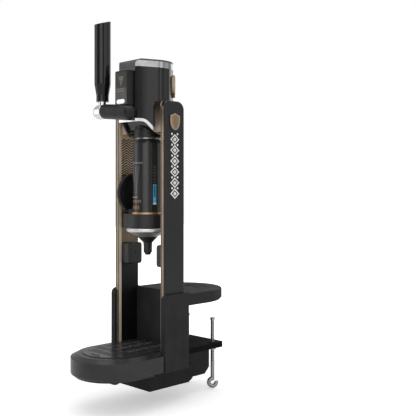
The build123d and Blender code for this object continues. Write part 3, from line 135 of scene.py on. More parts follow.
class Shade(Graph):
    """A material's tree. Lengths are in millimetres on the object's own coordinates."""

    def __init__(self, tree: bpy.types.NodeTree) -> None:
        """Start with the object's point in millimetres.

        Args:
            tree: The material's tree.
        """
        super().__init__(tree)
        place = self.node("ShaderNodeTexCoord").outputs["Object"]
        scaled = {0: place, "Scale": 1 / MM}
        self.point = self.out("ShaderNodeVectorMath", scaled, operation="SCALE")
        parts = self.node("ShaderNodeSeparateXYZ", {"Vector": self.point}).outputs
        self.x, self.y, self.z = parts["X"], parts["Y"], parts["Z"]

    def noise(self, size: float, detail: float = 2.0, stretch: Point = (1.0, 1.0, 1.0)) -> Socket:
        """Smooth noise.

        Args:
            size: Width of one blotch in millimetres.
            detail: Number of finer layers.
            stretch: How many times the blotches are squeezed along each axis.

        Returns:
            The noise, from 0 to 1 with most of it near one half.
        """
        where = self.out("ShaderNodeMapping", {"Vector": self.point, "Scale": stretch})
        inputs = {"Vector": where, "Scale": 1 / size, "Detail": detail}
        return self.out("ShaderNodeTexNoise", inputs)

    def tint(self, factor: Number, first: Any, last: Any) -> Socket:
        """Mix two colours by a factor."""
        inputs = {0: factor, 6: self.rgb(first), 7: self.rgb(last)}
        return self.node("ShaderNodeMix", inputs, data_type="RGBA").outputs[2]

    @staticmethod
    def rgb(colour: Any) -> Any:
        """A colour as an RGBA value, or the socket it already is."""
        return colour if isinstance(colour, Socket) else (*colour, 1.0)

    def band(self, value: Socket, low: float, high: float, soft: float = 0.15) -> Socket:
        """1 between low and high, and 0 outside, blurred by soft at both ends."""
        rise = self.remap(value, low - soft, low + soft)
        return self.times(rise, self.remap(value, high - soft, high + soft, 1.0, 0.0))

    def rows(self, value: Socket, pitch: float, share: float) -> Socket:
        """Repeated stripes, each as wide as its share of the pitch."""
        cycle = self.math("FRACT", self.math("DIVIDE", value, pitch))
        return self.remap(cycle, share, share + 0.06, 1.0, 0.0)

    def soft_edge(self, radius: float) -> tuple[Socket, Socket]:
        """Rounded normals at edges.

        Args:
            radius: Size of the rounding in millimetres.

        Returns:
            The normal, and a mask that is 1 on edges and 0 on flat faces.
        """
        normal = self.out("ShaderNodeBevel", {"Radius": radius * MM}, samples=4)
        true = self.node("ShaderNodeNewGeometry").outputs["Normal"]
        same = self.node("ShaderNodeVectorMath", {0: normal, 1: true}, operation="DOT_PRODUCT")
        return normal, self.remap(same.outputs["Value"], 0.99, 0.8)

    def bump(self, height: Socket, depth: float, normal: Socket | None = None) -> Socket:
        """Turn a height from 0 to 1 into a normal.

        Args:
            height: The height socket.
            depth: Millimetres between height 0 and height 1.
            normal: The normal that the relief is laid on.

        Returns:
            The new normal.
        """
        inputs = {"Height": height, "Distance": depth * MM}
        if normal is not None:
            inputs["Normal"] = normal
        return self.out("ShaderNodeBump", inputs)

    def surface(self, colour: Any, roughness: Number, normal: Socket, **more: Any) -> None:
        """Finish the tree with one Principled surface.

        Args:
            colour: Base colour, a socket or three numbers.
            roughness: Roughness, a socket or a number.
            normal: The surface's normal.
            more: Further inputs, with underscores for spaces in their names.
        """
        inputs = {"Base Color": self.rgb(colour), "Roughness": roughness, "Normal": normal}
        inputs |= {name.replace("_", " "): value for name, value in more.items()}
        shader = self.node("ShaderNodeBsdfPrincipled", inputs)
        self.node("ShaderNodeOutputMaterial", {"Surface": shader.outputs[0]})


# --- finishes
@dataclass(frozen=True)
class Finish:
    """A named surface that makes its material once."""

    painted: ClassVar[set[str]] = set()
    name: str

    def material(self) -> bpy.types.Material:
        """Find the finish's material, and paint it on the first call.

        Returns:
            The painted material.
        """
        made = bpy.data.materials.get(self.name) or bpy.data.materials.new(self.name)
        if self.name not in self.painted:
            made.use_nodes = True
            self.paint(Shade(made.node_tree))
            self.painted.add(self.name)
        return made

    def paint(self, shade: Shade) -> None:
        """Write the surface.

        Args:
            shade: The material's tree.
        """
        raise NotImplementedError


@dataclass(frozen=True)
class Moulding(Finish):
    """Moulded plastic or rubber: fine grain, faint blotches, lighter edges of wear and painted
    highlight.
    """

    colour: Colour = (0.011, 0.011, 0.0112)
    faded: Colour = (0.018, 0.018, 0.0185)
    rough: Span = (0.34, 0.46)
    grain: float = 0.45
    relief: float = 0.02
    edge: float = 0.8
    # paler grey on the edges: partly wear, partly painted highlight
    edge_colour: Colour = (0.045, 0.045, 0.046)
    wear_and_highlight: Span = (0.25, 0.8)
    gloss: float = 0.5

    def ground(self, shade: Shade) -> tuple[Socket, Socket]:
        """The normal that the grain is laid on, and the mask of the edges."""
        return shade.soft_edge(self.edge)

    def paint(self, shade: Shade) -> None:
        """Blotched colour, uneven sheen, fine grain, and soft edges lightened as wear and painted
        highlight.

        Args:
            shade: The material's tree.
        """
        normal, edges = self.ground(shade)
        cloud = shade.remap(shade.noise(38.0, 4.0), *MIDDLE)
        # painted highlight and wear: patches of the edges are lightened towards edge_colour
        worn_and_lit = shade.times(edges, shade.remap(shade.noise(9.0), 0.35, 0.6, *self.wear_and_highlight))
        colour = shade.tint(worn_and_lit, shade.tint(cloud, self.colour, self.faded), self.edge_colour)
        pits = shade.noise(self.grain * 3.1, 1.0)
        height = shade.math("MULTIPLY_ADD", pits, 0.5, shade.noise(self.grain))
        bump = shade.bump(height, self.relief, normal)
        smear = shade.noise(14.0, 3.0, (1.0, 1.0, 0.35))
        roughness = shade.remap(smear, *WIDE, *self.rough)
        shade.surface(colour, roughness, bump, Specular_IOR_Level=self.gloss)


@dataclass(frozen=True)
class Crowned(Moulding):
    """Moulded plastic whose flat sides bow out a little along their depth."""

    middle_y: float = -128.0
    half: float = 46.0
    bow: float = 4.6

    def ground(self, shade: Shade) -> tuple[Socket, Socket]:
        """Lay rounded edges over a shallow arch along the depth.

        Args:
            shade: The material's tree.

        Returns:
            The normal, and the mask of the edges.
        """
        normal, edges = super().ground(shade)
        off = shade.math("DIVIDE", shade.math("SUBTRACT", shade.y, self.middle_y), self.half)
        arch = shade.math("SUBTRACT", 1.0, shade.times(off, off))
        return shade.bump(arch, self.bow, normal), edges


@dataclass(frozen=True)
class Lacquer(Finish):
    """Deep satin lacquer with a faint ripple, light specks, painted highlights on its edges and a
    clear coat.
    """

    colour: Colour = (0.012, 0.012, 0.0122)
    speck: Colour = (0.06, 0.06, 0.06)
    edge_colour: Colour = (0.06, 0.06, 0.061)
    rough: Span = (0.3, 0.4)
    coat: float = 0.2
    edge: float = 1.6

    def paint(self, shade: Shade) -> None:
        """Dark colour under a clear coat with a gentle ripple.

        Args:
            shade: The material's tree.
        """
        normal, edges = shade.soft_edge(self.edge)
        specks = shade.remap(shade.noise(0.8, 1.0), 0.72, 0.8)
        colour = shade.tint(shade.times(specks, 0.4), self.colour, self.speck)
        # painted highlight: the edges are lightened towards edge_colour
        colour = shade.tint(shade.times(edges, 0.7), colour, self.edge_colour)
        ripple = shade.math("ADD", shade.noise(5.0), shade.noise(1.4, 1.0))
        roughness = shade.remap(shade.noise(30.0, 4.0), *MIDDLE, *self.rough)
        bump = shade.bump(ripple, 0.012, normal)
        shade.surface(colour, roughness, bump, Coat_Weight=self.coat, Coat_Roughness=0.12)


@dataclass(frozen=True)
class Brushed(Finish):
    """Brushed metal with fine upright lines."""

    colour: Colour = (0.42, 0.33, 0.235)
    deep: Colour = (0.3, 0.225, 0.15)
    rough: Span = (0.3, 0.44)
    line: float = 0.35
    stretch: Point = (1.0, 1.0, 0.02)

    def streaks(self, shade: Shade) -> tuple[Socket, Socket, Socket]:
        """Draw the lines.

        Args:
            shade: The material's tree.

        Returns:
            The streaked colour, roughness and normal.
        """
        streak = shade.noise(self.line, 3.0, self.stretch)
        blend = shade.math("MULTIPLY_ADD", shade.noise(24.0, 3.0), 0.6, shade.times(streak, 0.4))
        colour = shade.tint(shade.remap(blend, *MIDDLE), self.deep, self.colour)
        roughness = shade.remap(streak, *WIDE, *self.rough)
        return colour, roughness, shade.bump(streak, 0.012, shade.soft_edge(0.4)[0])

    def paint(self, shade: Shade) -> None:
        """Streaked colour and sheen, with shallow lines as relief."""
        shade.surface(*self.streaks(shade), Metallic=1.0)


@dataclass(frozen=True)
class EdgeStrip(Brushed):
    """Gold edge strip of a cheek: gold face, a groove of painted shade, and a painted highlight on
    the return inside.
    """

    inner_x: float = 70.5
    groove: Span = (71.0, 73.6)
    front_y: float = -139.6
    dark: Colour = (0.022, 0.013, 0.008)
    lit_return: Shades = ((0.62, 0.52, 0.4), (0.82, 0.72, 0.58))

    def paint(self, shade: Shade) -> None:
        """Lay the groove's painted shade and the inner return's painted highlight over the brushed
        gold.

        Args:
            shade: The material's tree.
        """
        gold, roughness, bump = self.streaks(shade)
        side = shade.math("ABSOLUTE", shade.x)
        front = shade.remap(shade.y, self.front_y + 0.1, self.front_y + 0.4, 1.0, 0.0)
        groove = shade.times(shade.band(side, *self.groove), front)
        inside = shade.remap(side, self.inner_x + 0.05, self.inner_x + 0.3, 1.0, 0.0)
        # painted shade: a dark line where the groove lies, drawn on the flat strip
        colour = shade.tint(groove, gold, self.dark)
        # painted highlight: the inner return of the gold is painted pale, as if lit
        colour = shade.tint(inside, colour, shade.tint(shade.noise(30.0, 3.0), *self.lit_return))
        metal = shade.remap(shade.math("MAXIMUM", groove, inside), 0.0, 1.0, 0.75, 0.05)
        shade.surface(colour, roughness, bump, Metallic=metal)


@dataclass(frozen=True)
class Polished(Finish):
    """Plated or turned metal with light smudges and hairlines."""

    colour: Colour = (0.8, 0.8, 0.81)
    dull: Colour = (0.66, 0.66, 0.67)
    rough: Span = (0.07, 0.16)
    lines: float = 0.0

    def sheen(self, shade: Shade) -> tuple[Socket, Socket]:
        """Smudge the metal.

        Args:
            shade: The material's tree.

        Returns:
            The colour and the roughness.
        """
        smudge = shade.noise(11.0, 4.0)
        colour = shade.tint(shade.remap(smudge, *WIDE), self.colour, self.dull)
        return colour, shade.remap(smudge, *WIDE, *self.rough)

    def paint(self, shade: Shade) -> None:
        """Bright colour with smudged sheen, and turning lines if the metal has them.

        Args:
            shade: The material's tree.
        """
        hair = shade.noise(0.6, 2.0, (1.0, 1.0, 6.0))
        bump = shade.bump(hair, 0.003 + self.lines, shade.soft_edge(0.4)[0])
        shade.surface(*self.sheen(shade), bump, Metallic=1.0)


@dataclass(frozen=True)
class LipChrome(Polished):
    """Chrome lip whose downward faces are painted black as shade."""

    underside_shade: Colour = (0.008, 0.008, 0.008)

    def paint(self, shade: Shade) -> None:
        """Chrome outside, and black painted shade where the surface looks down.

        Args:
            shade: The material's tree.
        """
        facing = shade.node("ShaderNodeNewGeometry").outputs["Normal"]
        down = shade.node("ShaderNodeSeparateXYZ", {"Vector": facing}).outputs["Z"]
        # painted shade: faces that look down turn black and lose their metal
        not_downward = shade.remap(down, -0.55, -0.4)
        bright, roughness = self.sheen(shade)
        bump = shade.bump(shade.noise(0.6), 0.003, shade.soft_edge(0.4)[0])
        shade.surface(shade.tint(not_downward, self.underside_shade, bright), roughness, bump, Metallic=not_downward)


@dataclass(frozen=True)
class ShadedGold(Finish):
    """Gold block that darkens towards its top."""

    rise_z: Span = (378.0, 427.0)
    ends: Shades = ((0.36, 0.29, 0.21), (0.045, 0.036, 0.026))
    rough: Span = (0.34, 0.5)

    def paint(self, shade: Shade) -> None:
        """Warm tan below, near black above, with brushing across.

        Args:
            shade: The material's tree.
        """
        streak = shade.noise(0.5, 3.0, (1.0, 1.0, 0.03))
        colour = shade.tint(shade.remap(shade.z, *self.rise_z), *self.ends)
        roughness = shade.remap(streak, *WIDE, *self.rough)
        bump = shade.bump(streak, 0.01, shade.soft_edge(0.5)[0])
        shade.surface(colour, roughness, bump, Metallic=0.5)


@dataclass(frozen=True)
class WavePanel(Finish):
    """Black panel with rows of gold waves below a plain gold field."""

    pitch: float = 5.6
    rise: float = 6.5
    ripple: float = 27.0
    waves_z: Span = (118.0, 366.0)
    centre_y: float = -118.0
    warm: Shades = ((0.5, 0.36, 0.21), (0.66, 0.5, 0.32))
    black: Shades = ((0.002, 0.002, 0.002), (0.004, 0.004, 0.004))

    def lines(self, shade: Shade) -> Socket:
        """Draw rows that follow a rounded zigzag across the panel's depth.

        Args:
            shade: The material's tree.

        Returns:
            1 on the lines and 0 between them.
        """
        off = shade.math("SUBTRACT", shade.y, self.centre_y)
        across = shade.times(off, 2 * math.pi / self.ripple)
        second = shade.times(shade.math("COSINE", shade.times(across, 3.0)), 0.12)
        crest = shade.math("ADD", shade.math("COSINE", across), second)
        lifted = shade.math("SUBTRACT", shade.z, shade.times(crest, self.rise / 2))
        cycle = shade.math("FRACT", shade.math("DIVIDE", lifted, self.pitch))
        off_line = shade.math("ABSOLUTE", shade.math("SUBTRACT", cycle, 0.5))
        return shade.remap(off_line, 0.17, 0.24, 1.0, 0.0)

    def paint(self, shade: Shade) -> None:
        """Gold lines on black below, and plain gold above.

        Args:
            shade: The material's tree.
        """
        top = self.waves_z[1]
        waves = shade.times(self.lines(shade), shade.band(shade.z, *self.waves_z, 0.3))
        gold = shade.math("MAXIMUM", waves, shade.remap(shade.z, top - 0.3, top + 0.3))
        cloud = shade.noise(20.0, 3.0)
        warm = shade.tint(shade.remap(cloud, *WIDE), *self.warm)
        colour = shade.tint(gold, shade.tint(cloud, *self.black), warm)
        roughness = shade.remap(shade.noise(2.0), *WIDE, 0.38, 0.5)
        shade.surface(colour, roughness, shade.bump(gold, 0.12), Metallic=0.1)


@dataclass(frozen=True)
class Patch:
    """A printed patch of the keg, by its heights in millimetres and its angles in degrees."""

    heights: Span
    turns: Span
    ink: Colour
    blur: Span = (0.15, 0.5)
    share: float = 1.0
    lean: float = 0.0
    lean_z: float = 309.0
    dashes: Span | None = None
    ticks: Span | None = None

    def mask(self, shade: Shade, turn: Socket) -> Socket:
        """Draw the patch.

        Args:
            shade: The keg's tree.
            turn: The angle round the keg.

        Returns:
            The ink's share inside the patch, and 0 outside.
        """
        below = shade.math("SUBTRACT", self.lean_z, shade.z)
        lean = shade.math("MULTIPLY_ADD", below, self.lean, turn)
        mask = shade.times(shade.band(shade.z, *self.heights, self.blur[0]),
                           shade.band(lean, *self.turns, self.blur[1]), self.share)
        if self.dashes:
            mask = shade.times(mask, shade.rows(turn, *self.dashes))
        if self.ticks:
            mask = shade.times(mask, shade.rows(shade.z, *self.ticks))
        return mask


PALE, GREY, COPPER = (0.16, 0.16, 0.16), (0.24, 0.24, 0.25), (0.34, 0.16, 0.075)
CYAN, DEEP, WHITE = (0.07, 0.55, 0.95), (0.03, 0.17, 0.25), (0.7, 0.85, 0.9)


@dataclass(frozen=True)
class KegPrint(Finish):
    """Printed keg: near black with a pale ring, thin lines, gold marks and a level gauge."""

    axis_y: float = -115.0
    rims_z: tuple[Span, Span] = ((175.0, 179.2), (360.8, 365.0))
    ground: Shades = ((0.014, 0.014, 0.0142), (0.026, 0.026, 0.0263))
    metal: Colour = (0.3, 0.3, 0.3)
    patches: tuple[Patch, ...] = (
        Patch((307.4, 310.6), (-132.0, -60.0), PALE, (0.4, 4.0)),
        *(Patch((240.0, 302.0), (turn - 2.6, turn + 2.6), PALE, (3.0, 1.6), 0.55, 0.22)
          for turn in (-124.0, -108.0, -92.0, -76.0)),
        Patch((233.0, 236.0), (-128.0, -84.0), GREY),
        Patch((223.0, 228.5), (-130.0, -64.0), COPPER, dashes=(8.0, 0.5)),
        Patch((209.0, 215.5), (-128.0, -76.0), COPPER, dashes=(8.0, 0.5)),
        Patch((219.0, 262.0), (-20.0, -7.0), CYAN, (0.15, 0.4)),
        Patch((235.0, 260.2), (-17.5, -9.5), DEEP, (0.15, 0.4)),
        Patch((219.0, 222.5), (-20.0, -7.0), WHITE, (0.15, 0.4)),
        Patch((266.0, 304.0), (-19.0, -8.0), PALE, (0.15, 0.6), 0.5, ticks=(6.5, 0.3)),
    )

    def paint(self, shade: Shade) -> None:
        """Lay each patch over the dark ground, and plain metal on the rims.

        Args:
            shade: The material's tree.
        """
        off_axis = shade.math("SUBTRACT", shade.y, self.axis_y)
        turn = shade.times(shade.math("ARCTAN2", off_axis, shade.x), 180 / math.pi)
        colour = shade.tint(shade.noise(30.0, 4.0), *self.ground)
        for patch in self.patches:
            colour = shade.tint(patch.mask(shade, turn), colour, patch.ink)
        rims = shade.math("MAXIMUM", *(shade.band(shade.z, *span) for span in self.rims_z))
        colour = shade.tint(rims, colour, self.metal)
        roughness = shade.remap(shade.noise(12.0, 3.0, (1.0, 1.0, 0.4)), *WIDE, 0.2, 0.28)
        bump = shade.bump(shade.noise(1.1), 0.01)
        shade.surface(colour, roughness, bump, Metallic=shade.times(rims, 0.9), Coat_Weight=0.3)


@dataclass(frozen=True)
class Window(Finish):
    """Smoked window over a small display, with plain lines atop its lighter lower half."""

    top_z: float = 469.0
    lines_z: Span = (458.0, 467.0)
    lines_x: Span = (-14.0, 9.0)
    glass: Shades = ((0.014, 0.013, 0.011), (0.024, 0.022, 0.019))
    field: Shades = ((0.07, 0.063, 0.061), (0.09, 0.082, 0.08))
    mark: Colour = (0.3, 0.27, 0.26)

    def paint(self, shade: Shade) -> None:
        """Dark glass above, a warm grey field with faint lines below.

        Args:
            shade: The material's tree.
        """
        lower = shade.remap(shade.z, self.top_z - 6.0, self.top_z + 2.0, 1.0, 0.0)
        cloud = shade.noise(12.0, 3.0)
        colour = shade.tint(lower, shade.tint(cloud, *self.glass), shade.tint(cloud, *self.field))
        inside = shade.times(shade.band(shade.z, *self.lines_z), shade.band(shade.x, *self.lines_x))
        marks = shade.times(shade.rows(shade.z, 4.6, 0.34), inside, 0.6)
        colour = shade.tint(marks, colour, self.mark)
        roughness = shade.remap(shade.noise(18.0), *WIDE, 0.16, 0.26)
        bump = shade.bump(shade.noise(3.0), 0.004)
        shade.surface(colour, roughness, bump, Specular_IOR_Level=0.25)


@dataclass(frozen=True)
class LitLens(Finish):
    """White lens with a soft light behind it."""

    milk: Shades = ((0.62, 0.64, 0.66), (0.95, 0.96, 0.97))
    light: float = 0.35

    def paint(self, shade: Shade) -> None:
        """Milky white that is brighter in places.

        Args:
            shade: The material's tree.
        """
        colour = shade.tint(shade.remap(shade.noise(6.0), *WIDE, 0.75, 1.0), *self.milk)
        bump = shade.bump(shade.noise(1.0), 0.01)
        glow = {"Emission_Color": (1.0, 1.0, 1.0, 1.0), "Emission_Strength": self.light}
        shade.surface(colour, 0.25, bump, **glow)


@dataclass(frozen=True)
class Enamel(Finish):
    """Thick printed paint with a slightly uneven surface."""

    colour: Colour = (0.78, 0.77, 0.73)
    thin: Colour = (0.6, 0.59, 0.56)

    def paint(self, shade: Shade) -> None:
        """Paint that is thinner in places.

        Args:
            shade: The material's tree.
        """
        cloud = shade.remap(shade.noise(4.0, 3.0), *MIDDLE)
        bump = shade.bump(shade.noise(0.7), 0.02)
        shade.surface(shade.tint(cloud, self.thin, self.colour), 0.42, bump)


@dataclass(frozen=True)
class Circuit(Finish):
    """Green board with pale tracks and dark blocks."""

    board: Shades = ((0.01, 0.07, 0.03), (0.05, 0.2, 0.09))
    pad: Colour = (0.45, 0.43, 0.38)
    pitch: float = 2.54

    def paint(self, shade: Shade) -> None:
        """Tracks from a row of lines, broken up by noise, with pale pads between.

        Args:
            shade: The material's tree.
        """
        cells = shade.node("ShaderNodeTexVoronoi", {"Vector": shade.point, "Scale": 0.35})
        broken = shade.remap(shade.noise(8.0), 0.5, 0.55)
        tracks = shade.times(shade.rows(shade.x, self.pitch, 0.2), broken)
        pads = shade.remap(cells.outputs["Distance"], 0.12, 0.16, 1.0, 0.0)
        colour = shade.tint(pads, shade.tint(tracks, *self.board), self.pad)
        shade.surface(colour, 0.4, shade.bump(tracks, 0.05))


@dataclass(frozen=True)
class PaleFloor(Finish):
    """Matt pale studio floor that fades into white with distance."""

    fade: Span = (0.35, 1.4)
    lift: Span = (0.42, 1.0)
    pale: Shades = ((0.86, 0.86, 0.86), (0.9, 0.9, 0.9))

    def paint(self, shade: Shade) -> None:
        """Near white with faint clouds, lifted towards white where it is seen directly.

        Args:
            shade: The material's tree.
        """
        length = shade.node("ShaderNodeVectorMath", {0: shade.point}, operation="LENGTH")
        colour = shade.tint(shade.noise(400.0, 3.0), *self.pale)
        matt = shade.node("ShaderNodeBsdfPrincipled", {"Base Color": colour, "Roughness": 0.7})
        near, far = self.fade
        glow = shade.remap(length.outputs["Value"], near / MM, far / MM, *self.lift)
        seen = shade.node("ShaderNodeLightPath").outputs["Is Camera Ray"]
        white = shade.node("ShaderNodeEmission", {"Strength": shade.times(glow, seen)})
        total = shade.node("ShaderNodeAddShader", {0: matt.outputs[0], 1: white.outputs[0]})
        shade.node("ShaderNodeOutputMaterial", {"Surface": total.outputs[0]})


SATIN = Moulding("black_satin", (0.012, 0.012, 0.0122), (0.019, 0.019, 0.0193))
HEAD_SATIN = Crowned(
    "head_satin", (0.006, 0.006, 0.0061), (0.009, 0.009, 0.0092), (0.1, 0.15), relief=0.005)
HANDLE = Moulding(
    "handle_satin", (0.006, 0.006, 0.0061), (0.01, 0.01, 0.0102), (0.12, 0.18), relief=0.006)
CAP = Moulding("cap_satin", (0.06, 0.06, 0.0605), (0.085, 0.085, 0.0855), (0.36, 0.46))
BOX = Moulding(
    "display_box", (0.012, 0.0115, 0.011), (0.018, 0.0175, 0.0165), (0.36, 0.46), gloss=0.3)
CAST = Moulding(
    "cast_arm", (0.003, 0.003, 0.003), (0.007, 0.007, 0.007), (0.34, 0.46), 1.6, 0.14, gloss=0.4)
BASE = Moulding("dark_base", (0.019, 0.019, 0.0194), (0.026, 0.026, 0.0265), (0.6, 0.72), 0.6, 0.03,
                1.2, gloss=0.2)
UNDER = Moulding("under_box", (0.004, 0.004, 0.0042), (0.007, 0.007, 0.0072), (0.5, 0.62), 0.7,
                 0.03, 1.0, gloss=0.25)
WHEEL = Moulding(
    "wheel_black", (0.006, 0.006, 0.006), (0.01, 0.01, 0.01), (0.3, 0.4), 0.5, gloss=0.3)
TRAY = Moulding(
    "tray_black", (0.014, 0.014, 0.0144), (0.022, 0.022, 0.0226), (0.2, 0.28), 0.5, 0.012, 1.2)
GRILLE = Moulding(
    "grille_black", (0.028, 0.028, 0.0283), (0.045, 0.045, 0.0455), (0.2, 0.28), 0.5, 0.012, 0.6)
RUBBER = Moulding(
    "pad_rubber", (0.01, 0.01, 0.01), (0.018, 0.018, 0.018), (0.7, 0.85), 0.8, 0.05, gloss=0.3)
FOOT = Moulding("foot_rubber", (0.02, 0.02, 0.021), (0.03, 0.03, 0.032), (0.65, 0.8), 0.8, 0.05)
# black powder coat, darkened further as painted shade of the worktop, which the scene lacks
POWDER_IN_SHADE = Moulding("powder_coat", (0.004, 0.004, 0.004), (0.007, 0.007, 0.007), (0.72, 0.84), 1.1,
                  0.06, gloss=0.08)
CHEEK = Lacquer("cheek_lacquer", (0.0055, 0.0055, 0.0056), coat=0.05)
GOLD = Brushed("pale_gold")
RING_GOLD = Brushed("ring_gold", (0.8, 0.5, 0.28), (0.62, 0.37, 0.19))
STRIP = EdgeStrip("edge_strip")
SILVER = Brushed("dull_silver", (0.7, 0.67, 0.62), (0.5, 0.47, 0.43))
SHOULDER = ShadedGold("shoulder_gold")
CHROME = Polished("chrome", (0.95, 0.95, 0.955), (0.86, 0.86, 0.87))
BAND = Polished("chrome_band", (0.5, 0.5, 0.505), (0.42, 0.42, 0.425), (0.12, 0.2))
LIP = LipChrome("chrome_lip", (0.74, 0.74, 0.745), (0.62, 0.62, 0.63), (0.12, 0.2))
SATIN_CHROME = Polished("satin_chrome", (0.93, 0.92, 0.91), (0.82, 0.81, 0.8), (0.34, 0.46))
STEEL = Polished("turned_steel", (0.46, 0.46, 0.47), (0.34, 0.34, 0.35), (0.06, 0.12), 0.004)
BRONZE = Polished("sintered_bronze", (0.4, 0.26, 0.13), (0.3, 0.19, 0.1), (0.3, 0.42), 0.01)
WAVES = WavePanel("wave_panel")
PRINT = KegPrint("keg_print")
WINDOW = Window("display_window")
LENS = LitLens("lit_lens")
ENAMEL = Enamel("pale_enamel", (0.95, 0.94, 0.9), (0.88, 0.87, 0.83))
TAN = Enamel("tan_enamel", (0.3, 0.235, 0.15), (0.22, 0.17, 0.11))
CIRCUIT = Circuit("circuit_board")
FLOOR = PaleFloor("pale_floor")


# --- making pieces
def node_box(name: str) -> tuple[Vector, Vector]:
    """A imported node's lowest and highest corners in millimetres."""
    low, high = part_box(name)
    return Vector(low) / MM, Vector(high) / MM


def placed(name: str, data: bpy.types.ID) -> bpy.types.Object:
    """Put data in the scene.

    Args:
        name: The object's name.
        data: A mesh, a curve, a light or a camera.

    Returns:
        The new object.
    """
    made = bpy.data.objects.new(name, data)
    bpy.context.scene.collection.objects.link(made)
    return made


def stand(centre: Vector, facing: Facing = Facing.FRONT) -> Matrix:
    """A place for a detail drawn with X across, Z up and -Y outward, in millimetres."""
    turn = Matrix.Rotation(math.radians(facing.value), 4, "Z")
    return Matrix.Translation(centre * MM) @ turn @ Matrix.Scale(MM, 4)


class Pattern(Graph):
    """A geometry tree with named inputs, run once and kept as a plain mesh."""

    def __init__(self, name: str, **sizes: float | int) -> None:
        """Start a tree.

        Args:
            name: The piece's name.
            sizes: The tree's inputs and their values, in millimetres or counts.
        """
        super().__init__(bpy.data.node_groups.new(name, "GeometryNodeTree"))
        self.name, self.sizes = name, sizes
        ports = self.tree.interface
        for label, value in sizes.items():
            kind = "NodeSocketInt" if isinstance(value, int) else "NodeSocketFloat"
            ports.new_socket(label, in_out="INPUT", socket_type=kind)
        ports.new_socket("Geometry", in_out="OUTPUT", socket_type="NodeSocketGeometry")
        self.inputs = self.node("NodeGroupInput").outputs

    def vector(self, x: Number = 0.0, y: Number = 0.0, z: Number = 0.0) -> Socket:
        """A vector from sockets or numbers."""
        return self.out("ShaderNodeCombineXYZ", {0: x, 1: y, 2: z})

    def moved(self, shape: Socket, offset: Any = (0.0, 0.0, 0.0), turn: Any = (0.0, 0.0, 0.0),
              scale: Any = (1.0, 1.0, 1.0)) -> Socket:
        """The shape moved, turned and scaled."""
        inputs = {"Geometry": shape, "Translation": offset, "Rotation": turn, "Scale": scale}
        return self.out("GeometryNodeTransform", inputs)

    def joined(self, *shapes: Socket) -> Socket:
        """Put shapes together.

        Args:
            shapes: The shapes.

        Returns:
            One shape.
        """
        join = self.node("GeometryNodeJoinGeometry")
        for shape in shapes:
            self.tree.links.new(shape, join.inputs[0])
        return join.outputs[0]

    def copies(self, shape: Socket, points: Node) -> Socket:
        """A copy of the shape on each point that a node makes."""
        inputs = {"Points": points.outputs[0], "Instance": shape}
        return self.out("GeometryNodeInstanceOnPoints", inputs)

    def column(self, shape: Socket, count: Number, start: Any, step: Any) -> Socket:
        """Copies of the shape in a straight row."""
        inputs = {"Count": count, "Start Location": start, "Offset": step}
        return self.copies(shape, self.node("GeometryNodeMeshLine", inputs))

    def ring(self, shape: Socket, count: Number, radius: Number) -> Socket:
        """Copies of the shape on a level circle."""
        inputs = {"Vertices": count, "Radius": radius}
        return self.copies(shape, self.node("GeometryNodeMeshCircle", inputs))

    def rod(self, radius: Number, depth: Number, sides: int = 8) -> Socket:
        """An upright cylinder about the origin."""
        inputs = {"Vertices": sides, "Radius": radius, "Depth": depth}
        return self.out("GeometryNodeMeshCylinder", inputs)

    def ball(self, segments: int, rings: int, radius: float = 1.0) -> Socket:
        """A sphere about the origin."""
        inputs = {"Segments": segments, "Rings": rings, "Radius": radius}
        return self.out("GeometryNodeMeshUVSphere", inputs)

    def loop(self, count: int, radius: Number = 1.0) -> Socket:
        """A level circle as a curve of so many points."""
        inputs = {"Resolution": count, "Radius": radius}
        return self.out("GeometryNodeCurvePrimitiveCircle", inputs)

    def tube(self, curve: Socket, radius: Number, sides: int = 8) -> Socket:
        """A round tube along a curve."""
        inputs = {"Curve": curve, "Profile Curve": self.loop(sides, radius), "Fill Caps": True}
        return self.out("GeometryNodeCurveToMesh", inputs)

    def make(self, shape: Socket, finish: Finish, place: Matrix, body: str) -> bpy.types.Object:
        """Run the tree and keep its result.

        Args:
            shape: The geometry to keep.
            finish: What it is finished in.
            place: Where it goes, from millimetres to the row frame.
            body: The body it rides on.

        Returns:
            The piece, with its place in its mesh.
        """
        real = self.out("GeometryNodeRealizeInstances", {0: shape})
        inputs = {"Geometry": real, "Material": finish.material()}
        self.node("NodeGroupOutput", {0: self.out("GeometryNodeSetMaterial", inputs)})
        piece = placed(self.name, bpy.data.meshes.new(self.name))
        modifier = piece.modifiers.new("pattern", "NODES")
        modifier.node_group = self.tree
        for item in self.tree.interface.items_tree:
            if item.in_out == "INPUT":
                modifier[item.identifier] = self.sizes[item.name]
        seen = piece.evaluated_get(bpy.context.evaluated_depsgraph_get())
        mesh = bpy.data.meshes.new_from_object(seen)
        piece.modifiers.clear()
        mesh.transform(place)
        mesh.shade_smooth()
        mesh.set_sharp_from_angle(angle=math.radians(40))
        piece.data = mesh
        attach(piece, body)
        LOG.info("%s: %d faces on %s", self.name, len(mesh.polygons), body)
        return piece


@dataclass
class SubAssembly:
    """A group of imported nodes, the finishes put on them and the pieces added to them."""

    wears: ClassVar[dict[str, Finish]] = {}

    def make(self) -> None:
        """Dress the nodes, then add the pieces."""
        for name, finish in self.wears.items():
            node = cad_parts[name]
            node.data.materials.clear()
            node.data.materials.append(finish.material())
            LOG.info("%s is finished in %s", name, finish.name)
        self.build()

    def build(self) -> None:
        """Add the pieces that the solids don't have."""


